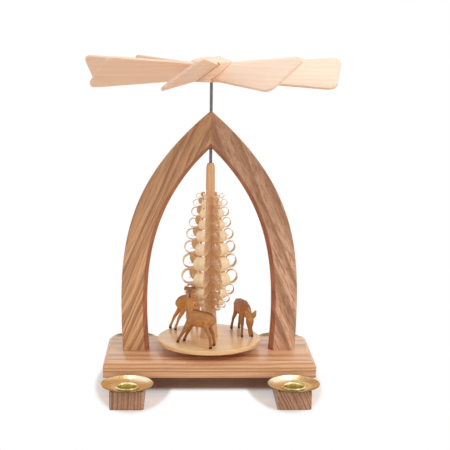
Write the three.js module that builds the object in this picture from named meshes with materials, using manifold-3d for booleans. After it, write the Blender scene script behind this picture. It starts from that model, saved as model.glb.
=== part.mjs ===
// Candle carousel: four candles warm the air under an eight-bladed rotor, and the
// rotor turns a plumb steel spindle with a shaved wooden tree, a round turntable
// and three carved deer inside a pointed wooden arch.
// Millimetres, +Z up. The origin is on the spindle's axis, at the floor.

import * as THREE from 'three';
import { mergeVertices } from 'three/addons/utils/BufferGeometryUtils.js';
import Module from 'manifold-3d';

// Stand
const footWidth = 26.2;
const footHeight = 15;
const footLength = 146.2;
const footSpacing = 128;
const footBevel = 0.9;
const plateOverhang = 20.25;
const plateDepth = 80.2;
const plateThickness = 12.7;
const plateCorner = 1.2;
const plateChamfer = 3.1;

// Arch, each leg between two curves that meet their mirror images at the apex
const archThickness = 12;
const legFootWidth = 21.4;
const legFootInset = 4.4;
const archCrown = 28.9;
const archBulge = 3.4;
const archInnerBulge = 5.1;
const archShoulderOut = 3.2;
const archInnerShoulderOut = 2.1;
const archRound = 1.1;
const archInnerBevel = 3.6;

// Spindle and its bearings
const spindleRadius = 1.2;
const spindleTipLength = 2.4;
const spindleBelowHubTop = 1.5;
const runningGap = 0.1;
const seatGap = 0.3;
const pressGap = 0.08;
const bearingRadius = 5;
const bearingHeight = 5;
const bearingDimple = 2.2;
const bushRadius = 2.5;
const bushLength = 9;
const bushSetback = 0.8;
const guideBoreRadius = 1.7;

// Turntable and the shaved tree
const turntableRoom = 6.7;
const turntableThickness = 3.8;
const turntableRound = 1.1;
const turntableLift = 9.8;
const treeHeight = 143.8;
const treeHeadroom = 12.4;
const trunkFootRadius = 7.3;
const trunkWaistRadius = 5.4;
const trunkTopRadius = 3.4;
const treeReach = 23.1;
const curlThickness = 0.55;
const curlWidth = 9.2;
const curlGap = 0.45;
const curlRootDepth = 0.9;
const curlColumns = 6;
const curlFirstAngle = 9;

// Rotor
const rotorRise = 30.8;
const rotorRadius = 101;
const bladeCount = 8;
const bladeFirstAngle = -14;
const bladePitch = 36.4;
const bladeTipWidth = 39.8;
const bladeRootWidth = 21.6;
const bladeThickness = 2;
const bladeCorner = 8.5;
const bladeBevel = 0.35;
const hubRadius = 17.4;
const hubHeight = 15.8;
const hubRound = 0.9;
const hubCoreRadius = 9.6;

// Candle holders, one at each end of each foot bar
const holderInset = 9.45;
const dishRadius = 20.2;
const dishRise = 3.6;
const dishSheet = 0.5;
const dishSeatRadius = 10.2;
const dishHoleRadius = 8.4;
const cupBoreRadius = 7.3;
const cupWall = 0.5;
const cupDepth = 12;
const cupFlangeRadius = 9.6;
const cupLipRise = 0.4;

// Deer, three of one size
const deerHeight = 28.4;
const deerLegRadius = 1.15;
const deerHoofRadius = 1.35;
const deerHoofHeight = 1.6;

// Fasteners
const screwShankRadius = 1.6;
const screwHeadRadius = 3.4;
const screwHeadHeight = 2.2;
const screwRecess = 0.6;
const footScrewLength = 22;
const legScrewLength = 42;
const footScrewSpacing = 62;
const dowelRadius = 1.25;
const dowelLength = 14;
const dowelSpacing = 7.6;

const cutOverrun = 3;
const tau = Math.PI * 2;

// Heights that follow from the sizes above
const plateBottom = footHeight;
const plateTop = plateBottom + plateThickness;
const turntableTop = plateTop + turntableLift;
const openingHeight = turntableTop + treeHeight + treeHeadroom;
const archOpeningHeight = openingHeight - plateTop;
const archHeight = archOpeningHeight + archCrown;
const apexHeight = plateTop + archHeight;
const rotorHeight = apexHeight + rotorRise;
const footX = footSpacing / 2;
const holderY = footLength / 2 - holderInset;
const plateWidth = footSpacing + 2 * plateOverhang;
const legCentreX = footX - legFootInset;
const archFootHalfWidth = legCentreX + legFootWidth / 2;
const archFootOpening = legCentreX - legFootWidth / 2;
const turntableRadius = archFootOpening - turntableRoom;
const turntableBottom = turntableTop - turntableThickness;
const treeBoreRadius = spindleRadius + pressGap;
const hubBottom = rotorHeight - hubHeight / 2;
const hubTop = rotorHeight + hubHeight / 2;
const spindleTop = hubTop - spindleBelowHubTop;
const bearingTop = plateTop;
const bearingBottom = bearingTop - bearingHeight;
const spindleTip = bearingTop - bearingDimple + seatGap;

const wasm = await Module();
wasm.setup();

const colours = {
  ash: 0xc0926a,
  plateWood: 0xd6a184,
  maple: 0xf2d3ae,
  disc: 0xeccb9e,
  curl: 0xe9bd8d,
  deer: 0xa8703c,
  brass: 0xc9a755,
  steel: 0x6a6266,
  dowel: 0xd9b98c
};

// Materials are per piece, so that each mesh has its own
function woodMaterial(colour) {
  return new THREE.MeshStandardMaterial({ color: colour, roughness: 0.6, metalness: 0 });
}

function metalMaterial(colour) {
  return new THREE.MeshStandardMaterial({ color: colour, roughness: 0.3, metalness: 1 });
}

// Solids: geometry to a closed manifold and back
function solidOf(geometry) {
  const bare = geometry.clone();
  bare.deleteAttribute('normal');
  bare.deleteAttribute('uv');
  const merged = mergeVertices(bare);
  const mesh = new wasm.Mesh({
    numProp: 3,
    vertProperties: new Float32Array(merged.attributes.position.array),
    triVerts: new Uint32Array(merged.index.array)
  });
  return new wasm.Manifold(mesh);
}

function geometryOf(solid) {
  const mesh = solid.getMesh();
  const geometry = new THREE.BufferGeometry();
  geometry.setAttribute('position', new THREE.BufferAttribute(mesh.vertProperties, mesh.numProp));
  geometry.setIndex(new THREE.BufferAttribute(mesh.triVerts, 1));
  geometry.computeVertexNormals();
  return geometry;
}

function unite(solids) {
  return solids.reduce((whole, next) => whole.add(next));
}

function cutAll(solid, cutters) {
  return cutters.reduce((rest, cutter) => rest.subtract(cutter), solid);
}

// A closed skin through rings of equal length, with flat ends
function loft(rings) {
  const count = rings[0].length;
  const points = rings.flat();
  const index = [];
  for (let ring = 0; ring + 1 < rings.length; ring += 1) {
    for (let side = 0; side < count; side += 1) {
      const next = (side + 1) % count;
      const a = ring * count + side;
      const b = ring * count + next;
      const c = a + count;
      const d = b + count;
      index.push(a, b, d, a, d, c);
    }
  }
  const last = (rings.length - 1) * count;
  for (let side = 1; side + 1 < count; side += 1) {
    index.push(0, side + 1, side);
    index.push(last, last + side, last + side + 1);
  }
  const geometry = new THREE.BufferGeometry().setFromPoints(points);
  geometry.setIndex(signedVolume(points, index) < 0 ? turned(index) : index);
  geometry.computeVertexNormals();
  return geometry;
}

function signedVolume(points, index) {
  let volume = 0;
  for (let corner = 0; corner < index.length; corner += 3) {
    const [a, b, c] = [points[index[corner]], points[index[corner + 1]], points[index[corner + 2]]];
    volume += a.dot(b.clone().cross(c));
  }
  return volume;
}

function turned(index) {
  const flipped = [];
  for (let corner = 0; corner < index.length; corner += 3) {
    flipped.push(index[corner], index[corner + 2], index[corner + 1]);
  }
  return flipped;
}

// A turned piece about the Z axis from (radius, height) pairs, closed on itself or on the axis
function turnedPiece(profile, segments) {
  const points = profile.map(([radius, height]) => new THREE.Vector2(radius, height));
  const geometry = new THREE.LatheGeometry(points, segments);
  geometry.rotateX(Math.PI / 2);
  return orient(geometry);
}

// Lathes come out inward or outward by the profile's sense, so they are turned outward here
function orient(geometry) {
  const bare = geometry.clone();
  bare.deleteAttribute('normal');
  bare.deleteAttribute('uv');
  const merged = mergeVertices(bare);
  const points = [];
  for (let corner = 0; corner < merged.attributes.position.count; corner += 1) {
    points.push(new THREE.Vector3().fromBufferAttribute(merged.attributes.position, corner));
  }
  const kept = [];
  const index = Array.from(merged.index.array);
  for (let corner = 0; corner < index.length; corner += 3) {
    const [a, b, c] = index.slice(corner, corner + 3);
    if (a !== b && b !== c && c !== a) {
      kept.push(a, b, c);
    }
  }
  merged.setIndex(signedVolume(points, kept) < 0 ? turned(kept) : kept);
  merged.computeVertexNormals();
  return merged;
}

function rod(radius, bottom, top, segments) {
  return turnedPiece([[0, bottom], [radius, bottom], [radius, top], [0, top]], segments);
}

function moved(geometry, x, y, z) {
  return geometry.clone().translate(x, y, z);
}

// Rectangle with rounded corners, centred on the origin
function roundedRectangle(width, depth, corner) {
  const shape = new THREE.Shape();
  const [x, y] = [width / 2, depth / 2];
  shape.moveTo(-x + corner, -y);
  shape.lineTo(x - corner, -y);
  shape.absarc(x - corner, -y + corner, corner, -Math.PI / 2, 0, false);
  shape.lineTo(x, y - corner);
  shape.absarc(x - corner, y - corner, corner, 0, Math.PI / 2, false);
  shape.lineTo(-x + corner, y);
  shape.absarc(-x + corner, y - corner, corner, Math.PI / 2, Math.PI, false);
  shape.lineTo(-x, -y + corner);
  shape.absarc(-x + corner, -y + corner, corner, Math.PI, Math.PI * 3 / 2, false);
  return shape;
}

// Board lying flat with softened edges, its bevel inside the given sizes
function board(width, depth, thickness, corner, bevel, steps) {
  const shape = roundedRectangle(width - 2 * bevel, depth - 2 * bevel, corner - bevel / 2);
  const geometry = new THREE.ExtrudeGeometry(shape, {
    depth: thickness - 2 * bevel,
    bevelEnabled: true,
    bevelThickness: bevel,
    bevelSize: bevel,
    bevelSegments: steps,
    curveSegments: steps + 1
  });
  return geometry.translate(0, 0, bevel);
}

const spinnerSegments = 16;
const holeSegments = 16;
const screwSegments = 8;
const dishSegments = 24;
const discSegments = 36;
const hubSegments = 24;
const cornerSteps = 1;

// Fasteners: a countersunk screw that points up, with its head's face at the given height
function screwProfile(length, gap) {
  const headRadius = screwHeadRadius + gap;
  const shankRadius = screwShankRadius + gap;
  return [
    [0, -gap],
    [headRadius, -gap],
    [headRadius, gap],
    [shankRadius, screwHeadHeight + gap],
    [shankRadius, length - shankRadius],
    [0, length + gap]
  ];
}

function screw(x, y, length) {
  return moved(turnedPiece(screwProfile(length, 0), screwSegments), x, y, screwRecess);
}

function screwHole(x, y, length) {
  const hole = solidOf(moved(turnedPiece(screwProfile(length, seatGap), screwSegments), x, y, screwRecess));
  const mouth = rod(screwHeadRadius + seatGap, -cutOverrun, screwRecess, screwSegments);
  return hole.add(solidOf(moved(mouth, x, y, 0)));
}

const sides = [['left', -1], ['right', 1]];
const ends = [['front', -1], ['back', 1]];
const footScrewPlaces = sides.flatMap(([sideName, side]) => ends.map(([endName, end]) =>
  [`foot_screw_${endName}_${sideName}`, side * footX, end * footScrewSpacing / 2]));
const legScrewPlaces = sides.map(([sideName, side]) => [`leg_screw_${sideName}`, side * legCentreX, 0]);

function screwCutters() {
  const footHoles = footScrewPlaces.map(([, x, y]) => screwHole(x, y, footScrewLength));
  const legHoles = legScrewPlaces.map(([, x, y]) => screwHole(x, y, legScrewLength));
  return [...footHoles, ...legHoles];
}

// Base plate, its top edges chamfered, with the seat for the lower bearing
function plateRing(height, inset) {
  const shape = roundedRectangle(plateWidth - 2 * inset, plateDepth - 2 * inset, plateCorner);
  return shape.getPoints(cornerSteps).slice(0, -1).map((point) => new THREE.Vector3(point.x, point.y, height));
}

function basePlate() {
  const blank = loft([
    plateRing(plateBottom, 0),
    plateRing(plateTop - plateChamfer, 0),
    plateRing(plateTop, plateChamfer)
  ]);
  const seat = rod(bearingRadius + seatGap, bearingBottom - seatGap, plateTop + cutOverrun, holeSegments);
  return geometryOf(cutAll(solidOf(blank), [solidOf(seat), ...screwCutters()]));
}

// Foot bar with a blind bore for a candle cup near each end
function footBar(side) {
  const blank = board(footWidth, footLength, footHeight, footBevel * 2, footBevel, 1);
  const bar = solidOf(moved(blank, side * footX, 0, 0));
  const boreBottom = footHeight - cupDepth - seatGap;
  const bore = rod(cupBoreRadius + cupWall + seatGap, boreBottom, footHeight + cutOverrun, holeSegments);
  const bores = [-1, 1].map((end) => solidOf(moved(bore, side * footX, end * holderY, 0)));
  return geometryOf(cutAll(bar, [...bores, ...screwCutters()]));
}

// Arch legs: cross-sections from the foot to the mitre at the apex
const legStations = 14;
const outerBulgeShare = 0.41;
const outerShoulderShare = 0.68;
const innerBulgeShare = 0.377;
const innerShoulderShare = 0.71;

const outerCurve = new THREE.CubicBezierCurve(
  new THREE.Vector2(archFootHalfWidth, plateTop),
  new THREE.Vector2(archFootHalfWidth + archBulge, plateTop + archHeight * outerBulgeShare),
  new THREE.Vector2(archFootHalfWidth + archShoulderOut, plateTop + archHeight * outerShoulderShare),
  new THREE.Vector2(0, apexHeight)
);
const openingCurve = new THREE.CubicBezierCurve(
  new THREE.Vector2(archFootOpening, plateTop),
  new THREE.Vector2(archFootOpening + archInnerBulge, plateTop + archOpeningHeight * innerBulgeShare),
  new THREE.Vector2(archFootOpening + archInnerShoulderOut, plateTop + archOpeningHeight * innerShoulderShare),
  new THREE.Vector2(0, openingHeight)
);

function legRing(share) {
  const outer = outerCurve.getPoint(share);
  const inner = openingCurve.getPoint(share);
  const width = outer.distanceTo(inner);
  const face = archThickness / 2;
  const section = [
    [0, -face + archInnerBevel],
    [archInnerBevel, -face],
    [width - archRound, -face],
    [width, -face + archRound],
    [width, face - archRound],
    [width - archRound, face],
    [archInnerBevel, face],
    [0, face - archInnerBevel]
  ];
  return section.map(([across, y]) => {
    const point = inner.clone().lerp(outer, across / width);
    return new THREE.Vector3(point.x, y, point.y);
  });
}

function archLegBlank() {
  const rings = [];
  for (let station = 0; station <= legStations; station += 1) {
    rings.push(legRing(station / legStations));
  }
  return loft(rings);
}

const bushBottom = openingHeight + bushSetback;
const bushTop = bushBottom + bushLength;
const dowelHeight = (openingHeight + apexHeight) / 2;

function apexDowel(end, gap) {
  const pin = rod(dowelRadius + gap, -dowelLength / 2 - gap, dowelLength / 2 + gap, screwSegments);
  pin.rotateY(Math.PI / 2);
  return moved(pin, 0, end * dowelSpacing / 2, dowelHeight);
}

function archLeg(side) {
  const blank = archLegBlank();
  const leg = orient(side > 0 ? blank : blank.scale(-1, 1, 1));
  const guide = rod(guideBoreRadius, openingHeight - cutOverrun, apexHeight + cutOverrun, holeSegments);
  const seat = rod(bushRadius + seatGap, openingHeight - cutOverrun, bushTop + seatGap, holeSegments);
  const dowelHoles = ends.map(([, end]) => solidOf(apexDowel(end, seatGap)));
  const cutters = [solidOf(guide), solidOf(seat), ...dowelHoles, ...screwCutters()];
  return geometryOf(cutAll(solidOf(leg), cutters));
}

// Bearings
function lowerBearingCup() {
  return turnedPiece([
    [0, bearingBottom],
    [bearingRadius, bearingBottom],
    [bearingRadius, bearingTop],
    [bearingDimple, bearingTop],
    [0, bearingTop - bearingDimple]
  ], holeSegments);
}

function upperGuideBush() {
  const bore = spindleRadius + runningGap;
  return turnedPiece([
    [bore, bushBottom],
    [bushRadius, bushBottom],
    [bushRadius, bushTop],
    [bore, bushTop],
    [bore, bushBottom]
  ], spinnerSegments);
}

// Candle holders
function candleCup() {
  const outer = cupBoreRadius + cupWall;
  const flangeBottom = footHeight + dishSheet + seatGap / 2;
  const flangeTop = flangeBottom + cupWall;
  const cupBottom = footHeight - cupDepth;
  return turnedPiece([
    [0, cupBottom],
    [outer, cupBottom],
    [outer, flangeBottom],
    [cupFlangeRadius - cupWall, flangeBottom],
    [cupFlangeRadius, flangeBottom + cupWall / 2],
    [cupFlangeRadius - cupWall, flangeTop],
    [(outer + cupFlangeRadius) / 2, flangeTop + cupLipRise],
    [outer, flangeTop + cupLipRise],
    [cupBoreRadius, flangeTop],
    [cupBoreRadius, cupBottom + cupWall],
    [0, cupBottom + cupWall]
  ], holeSegments);
}

const dishArcShare = 0.19;
const dishArc = dishArcShare * tau;
const dishSteps = 2;

function candleDish() {
  const bottom = footHeight;
  const rimWidth = dishRadius - dishSeatRadius;
  const under = [];
  const over = [];
  for (let step = 0; step <= dishSteps; step += 1) {
    const share = step / dishSteps;
    const radius = dishSeatRadius + rimWidth * share;
    const rise = dishRise * (1 - Math.cos(share * dishArc)) / (1 - Math.cos(dishArc));
    under.push([radius, bottom + rise * (1 - dishSheet / dishRise)]);
    over.push([radius, bottom + rise * (1 - dishSheet / dishRise) + dishSheet]);
  }
  return turnedPiece([
    [dishHoleRadius, bottom],
    ...under,
    ...over.reverse(),
    [dishHoleRadius, bottom + dishSheet],
    [dishHoleRadius, bottom]
  ], dishSegments);
}

// Spindle with a ground point that runs in the lower cup
function spindle() {
  return turnedPiece([
    [0, spindleTip],
    [spindleRadius, spindleTip + spindleTipLength],
    [spindleRadius, spindleTop],
    [0, spindleTop]
  ], spinnerSegments);
}

function turntable() {
  const corner = turntableRadius - turntableRound;
  return turnedPiece([
    [treeBoreRadius, turntableBottom],
    [corner, turntableBottom],
    [turntableRadius, turntableBottom + turntableRound],
    [turntableRadius, turntableTop - turntableRound],
    [corner, turntableTop],
    [treeBoreRadius, turntableTop],
    [treeBoreRadius, turntableBottom]
  ], discSegments);
}

// The tree is one turned rod, and every curl is a shaving that stays rooted in it.
// Each tier's ring centre and reach are shares of the tree's height and widest reach.
const tierHeightShares = [0.815, 0.776, 0.724, 0.664, 0.599, 0.526, 0.445, 0.357, 0.279, 0.223, 0.184];
const tierReachShares = [0.5, 0.61, 0.67, 0.745, 0.835, 0.905, 0.96, 1, 0.89, 0.735, 0.59];
const trunkSegments = 14;
const trunkWaistShare = 0.17;
const trunkShoulderShare = 0.965;
const trunkDomeShare = 0.55;
const trunkDomeRadiusShares = [0.86, 0.55];
const tiers = tierHeightShares.map((share, tier) => ({
  height: turntableTop + treeHeight * share,
  reach: treeReach * tierReachShares[tier]
}));

function trunkRadiusAt(height) {
  const waist = turntableTop + treeHeight * trunkWaistShare;
  const shoulder = turntableTop + treeHeight * trunkShoulderShare;
  return THREE.MathUtils.mapLinear(height, waist, shoulder, trunkWaistRadius, trunkTopRadius);
}

function trunk() {
  const top = turntableTop + treeHeight;
  const waist = turntableTop + treeHeight * trunkWaistShare;
  const shoulder = turntableTop + treeHeight * trunkShoulderShare;
  return turnedPiece([
    [treeBoreRadius, turntableTop],
    [trunkFootRadius, turntableTop],
    [trunkWaistRadius, waist],
    [trunkTopRadius, shoulder],
    [trunkTopRadius * trunkDomeRadiusShares[0], THREE.MathUtils.lerp(shoulder, top, trunkDomeShare)],
    [trunkTopRadius * trunkDomeRadiusShares[1], top],
    [treeBoreRadius, top],
    [treeBoreRadius, turntableTop]
  ], trunkSegments);
}

// Ring radius that leaves the curls of neighbouring tiers clear of each other
function ringRadius(tier) {
  const above = tiers[Math.max(tier - 1, 0)].height - tiers[Math.max(tier, 1)].height;
  const below = tiers[Math.min(tier, tiers.length - 2)].height - tiers[Math.min(tier + 1, tiers.length - 1)].height;
  return (Math.min(above, below) - curlThickness - curlGap) / 2;
}

// Centre line of one curl in its upright plane: down from the trunk, out, up, over and in
const curlStartAngle = Math.PI;
const curlTurns = 1.36;
const rollShare = 0.3;
const rollStartShare = 0.36;
const rootRiseShare = 0.55;
const rootEaseOut = 1.2;
const curlRoomShare = 0.93;
const smallRingShare = 0.4;
const leastCurlSteps = 7;
const mostCurlSteps = 10;

function curlSteps(tier) {
  const largest = Math.max(...tiers.map((_, other) => ringRadius(other)));
  const share = ringRadius(tier) / largest;
  return Math.round(THREE.MathUtils.lerp(leastCurlSteps, mostCurlSteps, (share - smallRingShare) / (1 - smallRingShare)));
}

function curlLine(tier) {
  const ring = ringRadius(tier);
  const { height, reach } = tiers[tier];
  const centre = reach - ring - curlThickness / 2;
  const rootReach = centre - trunkRadiusAt(height) + curlRootDepth;
  const line = [];
  const steps = curlSteps(tier);
  for (let step = 0; step <= steps; step += 1) {
    const share = step / steps;
    const angle = curlStartAngle + share * curlTurns * tau;
    const opening = Math.max(0, 1 - share * curlTurns * 4);
    const closing = Math.max(0, share - rollStartShare) / (1 - rollStartShare);
    const radius = ring * (1 - closing * (1 - rollShare));
    const across = THREE.MathUtils.lerp(radius, rootReach, opening ** rootEaseOut);
    line.push(new THREE.Vector2(
      centre + Math.cos(angle) * across,
      height + Math.sin(angle) * radius
    ));
  }
  const rise = Math.min(ring, curlWidth) * rootRiseShare;
  line.unshift(new THREE.Vector2(line[0].x - curlRootDepth, line[0].y + rise));
  return line;
}

function curl(tier, column) {
  const line = curlLine(tier);
  const rings = line.map((point, step) => {
    const before = line[Math.max(step - 1, 0)];
    const after = line[Math.min(step + 1, line.length - 1)];
    const along = after.clone().sub(before).normalize();
    const out = new THREE.Vector2(-along.y, along.x).multiplyScalar(curlThickness / 2);
    const room = 2 * Math.tan(Math.PI / curlColumns) * (point.x - curlThickness);
    const half = Math.min(curlWidth, room * curlRoomShare) / 2;
    return [[1, -1], [1, 1], [-1, 1], [-1, -1]].map(([side, edge]) => new THREE.Vector3(
      point.x + side * out.x,
      edge * half,
      point.y + side * out.y
    ));
  });
  const angle = THREE.MathUtils.degToRad(curlFirstAngle) + column * tau / curlColumns;
  return solidOf(loft(rings).rotateZ(angle));
}

function curlTree() {
  const curls = [];
  for (let tier = 0; tier < tiers.length; tier += 1) {
    for (let column = 0; column < curlColumns; column += 1) {
      curls.push(curl(tier, column));
    }
  }
  const bore = rod(treeBoreRadius, turntableTop - cutOverrun, turntableTop + treeHeight + cutOverrun, trunkSegments);
  return geometryOf(unite([solidOf(trunk()), ...curls]).subtract(solidOf(bore)));
}

// Rotor: blades lie in slanted saw-cuts round the hub
const slotSpanShare = 2.4;
const slotLength = hubHeight * slotSpanShare;

function slotCutter(turn) {
  const depth = hubRadius;
  const slot = new THREE.BoxGeometry(depth, slotLength, bladeThickness + 2 * seatGap);
  slot.translate(hubCoreRadius - seatGap + depth / 2, 0, 0);
  slot.rotateX(THREE.MathUtils.degToRad(bladePitch));
  slot.rotateZ(turn);
  return solidOf(slot.translate(0, 0, rotorHeight));
}

function bladeTurn(blade) {
  return THREE.MathUtils.degToRad(bladeFirstAngle) + blade * tau / bladeCount;
}

function rotorHub() {
  const corner = hubRadius - hubRound;
  const blank = turnedPiece([
    [0, hubBottom],
    [corner, hubBottom],
    [hubRadius, hubBottom + hubRound],
    [hubRadius, hubTop - hubRound],
    [corner, hubTop],
    [0, hubTop]
  ], hubSegments);
  const cutters = [solidOf(rod(treeBoreRadius, hubBottom - cutOverrun, spindleTop + seatGap, spinnerSegments))];
  for (let blade = 0; blade < bladeCount; blade += 1) {
    cutters.push(slotCutter(bladeTurn(blade)));
  }
  return geometryOf(cutAll(solidOf(blank), cutters));
}

// Blade outline: a long taper with rounded tip corners, pitched about its own length
function bladeOutline() {
  const halfRoot = bladeRootWidth / 2 - bladeBevel;
  const halfTip = bladeTipWidth / 2 - bladeBevel;
  const tip = rotorRadius - bladeBevel;
  const root = hubCoreRadius + bladeBevel;
  const shape = new THREE.Shape();
  const slope = (halfTip - halfRoot) / (tip - hubRadius);
  const sideEnd = halfTip - slope * bladeCorner;
  shape.moveTo(root, -halfRoot);
  shape.lineTo(hubRadius, -halfRoot);
  shape.lineTo(tip - bladeCorner, -sideEnd);
  shape.quadraticCurveTo(tip, -halfTip, tip, -halfTip + bladeCorner);
  shape.lineTo(tip, halfTip - bladeCorner);
  shape.quadraticCurveTo(tip, halfTip, tip - bladeCorner, sideEnd);
  shape.lineTo(hubRadius, halfRoot);
  shape.lineTo(root, halfRoot);
  return shape;
}

function rotorBlade() {
  const geometry = new THREE.ExtrudeGeometry(bladeOutline(), {
    depth: bladeThickness - 2 * bladeBevel,
    bevelEnabled: true,
    bevelThickness: bladeBevel,
    bevelSize: bladeBevel,
    bevelSegments: 1,
    curveSegments: 3
  });
  geometry.translate(0, 0, bladeBevel - bladeThickness / 2);
  return geometry;
}

// Deer: lofts through oval sections, united. Shares are of the deer's height at the withers;
// forward, left and up are the deer's own directions.
const bodyShares = [
  { at: [-0.46, 0, 0.75], tall: 0.06, wide: 0.045 },
  { at: [-0.41, 0, 0.765], tall: 0.165, wide: 0.11 },
  { at: [-0.29, 0, 0.775], tall: 0.215, wide: 0.15 },
  { at: [-0.1, 0, 0.78], tall: 0.205, wide: 0.15 },
  { at: [0.12, 0, 0.775], tall: 0.215, wide: 0.16 },
  { at: [0.3, 0, 0.785], tall: 0.21, wide: 0.145 },
  { at: [0.41, 0, 0.8], tall: 0.145, wide: 0.105 },
  { at: [0.47, 0, 0.81], tall: 0.06, wide: 0.05 }
];
const neckRadiusShares = [0.15, 0.12, 0.095, 0.085];
const headRadiusShares = [0.055, 0.1, 0.098, 0.07, 0.05, 0.036];
const headLengthShare = 0.5;
const headBackShare = -0.14;
const earLengthShare = 0.2;
const earWidthShare = 0.055;
const tailLengthShare = 0.16;
const neckRootShares = [0.28, 0, 0.82];
const neckWidthShare = 0.8;
const skullWidthShare = 0.86;
const kneeHeightShare = 0.52;
const shinShare = 0.5;
const thighShare = 0.45;
const legGirthShares = {
  top: [3.1, 1.9],
  thigh: [2.2, 1.5],
  knee: [1.25, 1.05],
  shin: [0.9, 0.85],
  ankle: [1, 0.95],
  sole: [1, 0.85]
};
const earLeanShares = { outward: 0.8, crown: 0.65, look: -0.25 };
const earRootShares = { crown: 0.7, outward: 0.6 };
const earLineShares = [0, 0.35, 0.7, 1];
const earGirthShares = [0.55, 1, 0.75, 0.18];
const earFlatShare = 0.42;
const tailLineShares = [[0, 0], [-0.55, -0.1], [-0.72, -0.75]];
const tailGirthShares = [0.34, 0.26, 0.1];
const tailRiseShare = 0.55;
const bodySides = 8;
const limbSides = 6;
const legSides = 5;
const earSides = 4;

function ovalRing(centre, across, upward, wide, tall, sides) {
  const ring = [];
  for (let side = 0; side < sides; side += 1) {
    const angle = side * tau / sides;
    ring.push(centre.clone()
      .addScaledVector(across, Math.cos(angle) * wide)
      .addScaledVector(upward, Math.sin(angle) * tall));
  }
  return ring;
}

// Limb along a line of points, with its sections square to the line
function limb(line, wides, talls, across, sides) {
  const rings = line.map((point, step) => {
    const before = line[Math.max(step - 1, 0)];
    const after = line[Math.min(step + 1, line.length - 1)];
    const along = after.clone().sub(before).normalize();
    const side = across.clone().addScaledVector(along, -across.dot(along)).normalize();
    const upward = along.clone().cross(side);
    return ovalRing(point, side, upward, wides[step], talls[step], sides);
  });
  return solidOf(loft(rings));
}

function deerPoint([forward, left, up]) {
  return new THREE.Vector3(forward, left, up).multiplyScalar(deerHeight);
}

function deerBody() {
  const across = new THREE.Vector3(0, 1, 0);
  const line = bodyShares.map((section) => deerPoint(section.at));
  const wides = bodyShares.map((section) => section.wide * deerHeight);
  const talls = bodyShares.map((section) => section.tall * deerHeight);
  return limb(line, wides, talls, across, bodySides);
}

// A leg bends at the knee or hock and ends in a flat hoof
function deerLeg(hip, foot, kneeShare) {
  const top = deerPoint(hip);
  const sole = new THREE.Vector3(foot[0], foot[1], seatGap);
  const knee = top.clone().lerp(sole, kneeHeightShare);
  knee.x += kneeShare * deerHeight;
  const ankle = sole.clone().setZ(deerHoofHeight + seatGap);
  const shin = knee.clone().lerp(ankle, shinShare);
  const thigh = top.clone().lerp(knee, thighShare);
  const forward = new THREE.Vector3(1, 0, 0);
  const left = new THREE.Vector3(0, 1, 0);
  const stations = { top, thigh, knee, shin, ankle, sole };
  return solidOf(loft(Object.entries(stations).map(([name, centre]) => {
    const girth = name === 'sole' ? deerHoofRadius : deerLegRadius;
    const [long, wide] = legGirthShares[name].map((share) => share * girth);
    return ovalRing(centre, forward, left, long, wide, legSides);
  })));
}

function deerNeck(pose) {
  const line = [deerPoint(neckRootShares), ...pose.neckShares.map(deerPoint)];
  const radii = neckRadiusShares.map((share) => share * deerHeight);
  return limb(line, radii.map((radius) => radius * neckWidthShare), radii, new THREE.Vector3(0, 1, 0), limbSides);
}

// The head looks along its own direction from the poll, and carries two ears
function deerHead(pose) {
  const poll = deerPoint(pose.neckShares[pose.neckShares.length - 1]);
  const look = new THREE.Vector3(...pose.look).normalize();
  const across = new THREE.Vector3(0, 0, 1).cross(look).normalize();
  const crown = look.clone().cross(across);
  const length = headLengthShare * deerHeight;
  const line = headRadiusShares.map((share, step) => poll.clone()
    .addScaledVector(look, length * THREE.MathUtils.lerp(headBackShare, 1, step / (headRadiusShares.length - 1))));
  const radii = headRadiusShares.map((share) => share * deerHeight);
  const skull = limb(line, radii.map((radius) => radius * skullWidthShare), radii, across, limbSides);
  const ears = [-1, 1].map((side) => deerEar(poll, across.clone().multiplyScalar(side), crown, look));
  return unite([skull, ...ears]);
}

function deerEar(poll, outward, crown, look) {
  const length = earLengthShare * deerHeight;
  const width = earWidthShare * deerHeight;
  const direction = outward.clone().multiplyScalar(earLeanShares.outward)
    .addScaledVector(crown, earLeanShares.crown)
    .addScaledVector(look, earLeanShares.look)
    .normalize();
  const root = poll.clone()
    .addScaledVector(crown, width * earRootShares.crown)
    .addScaledVector(outward, width * earRootShares.outward);
  const widths = earGirthShares.map((share) => share * width);
  const line = earLineShares.map((share) => root.clone().addScaledVector(direction, length * share));
  const flat = look.clone().cross(direction).normalize();
  return limb(line, widths, widths.map((value) => value * earFlatShare), flat, earSides);
}

function deerTail() {
  const length = tailLengthShare * deerHeight;
  const root = deerPoint(bodyShares[1].at).add(new THREE.Vector3(0, 0, length * tailRiseShare));
  const line = tailLineShares.map(([back, up]) =>
    root.clone().add(new THREE.Vector3(back, 0, up).multiplyScalar(length)));
  const radii = tailGirthShares.map((share) => share * length);
  return limb(line, radii, radii, new THREE.Vector3(0, 1, 0), legSides);
}

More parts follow.
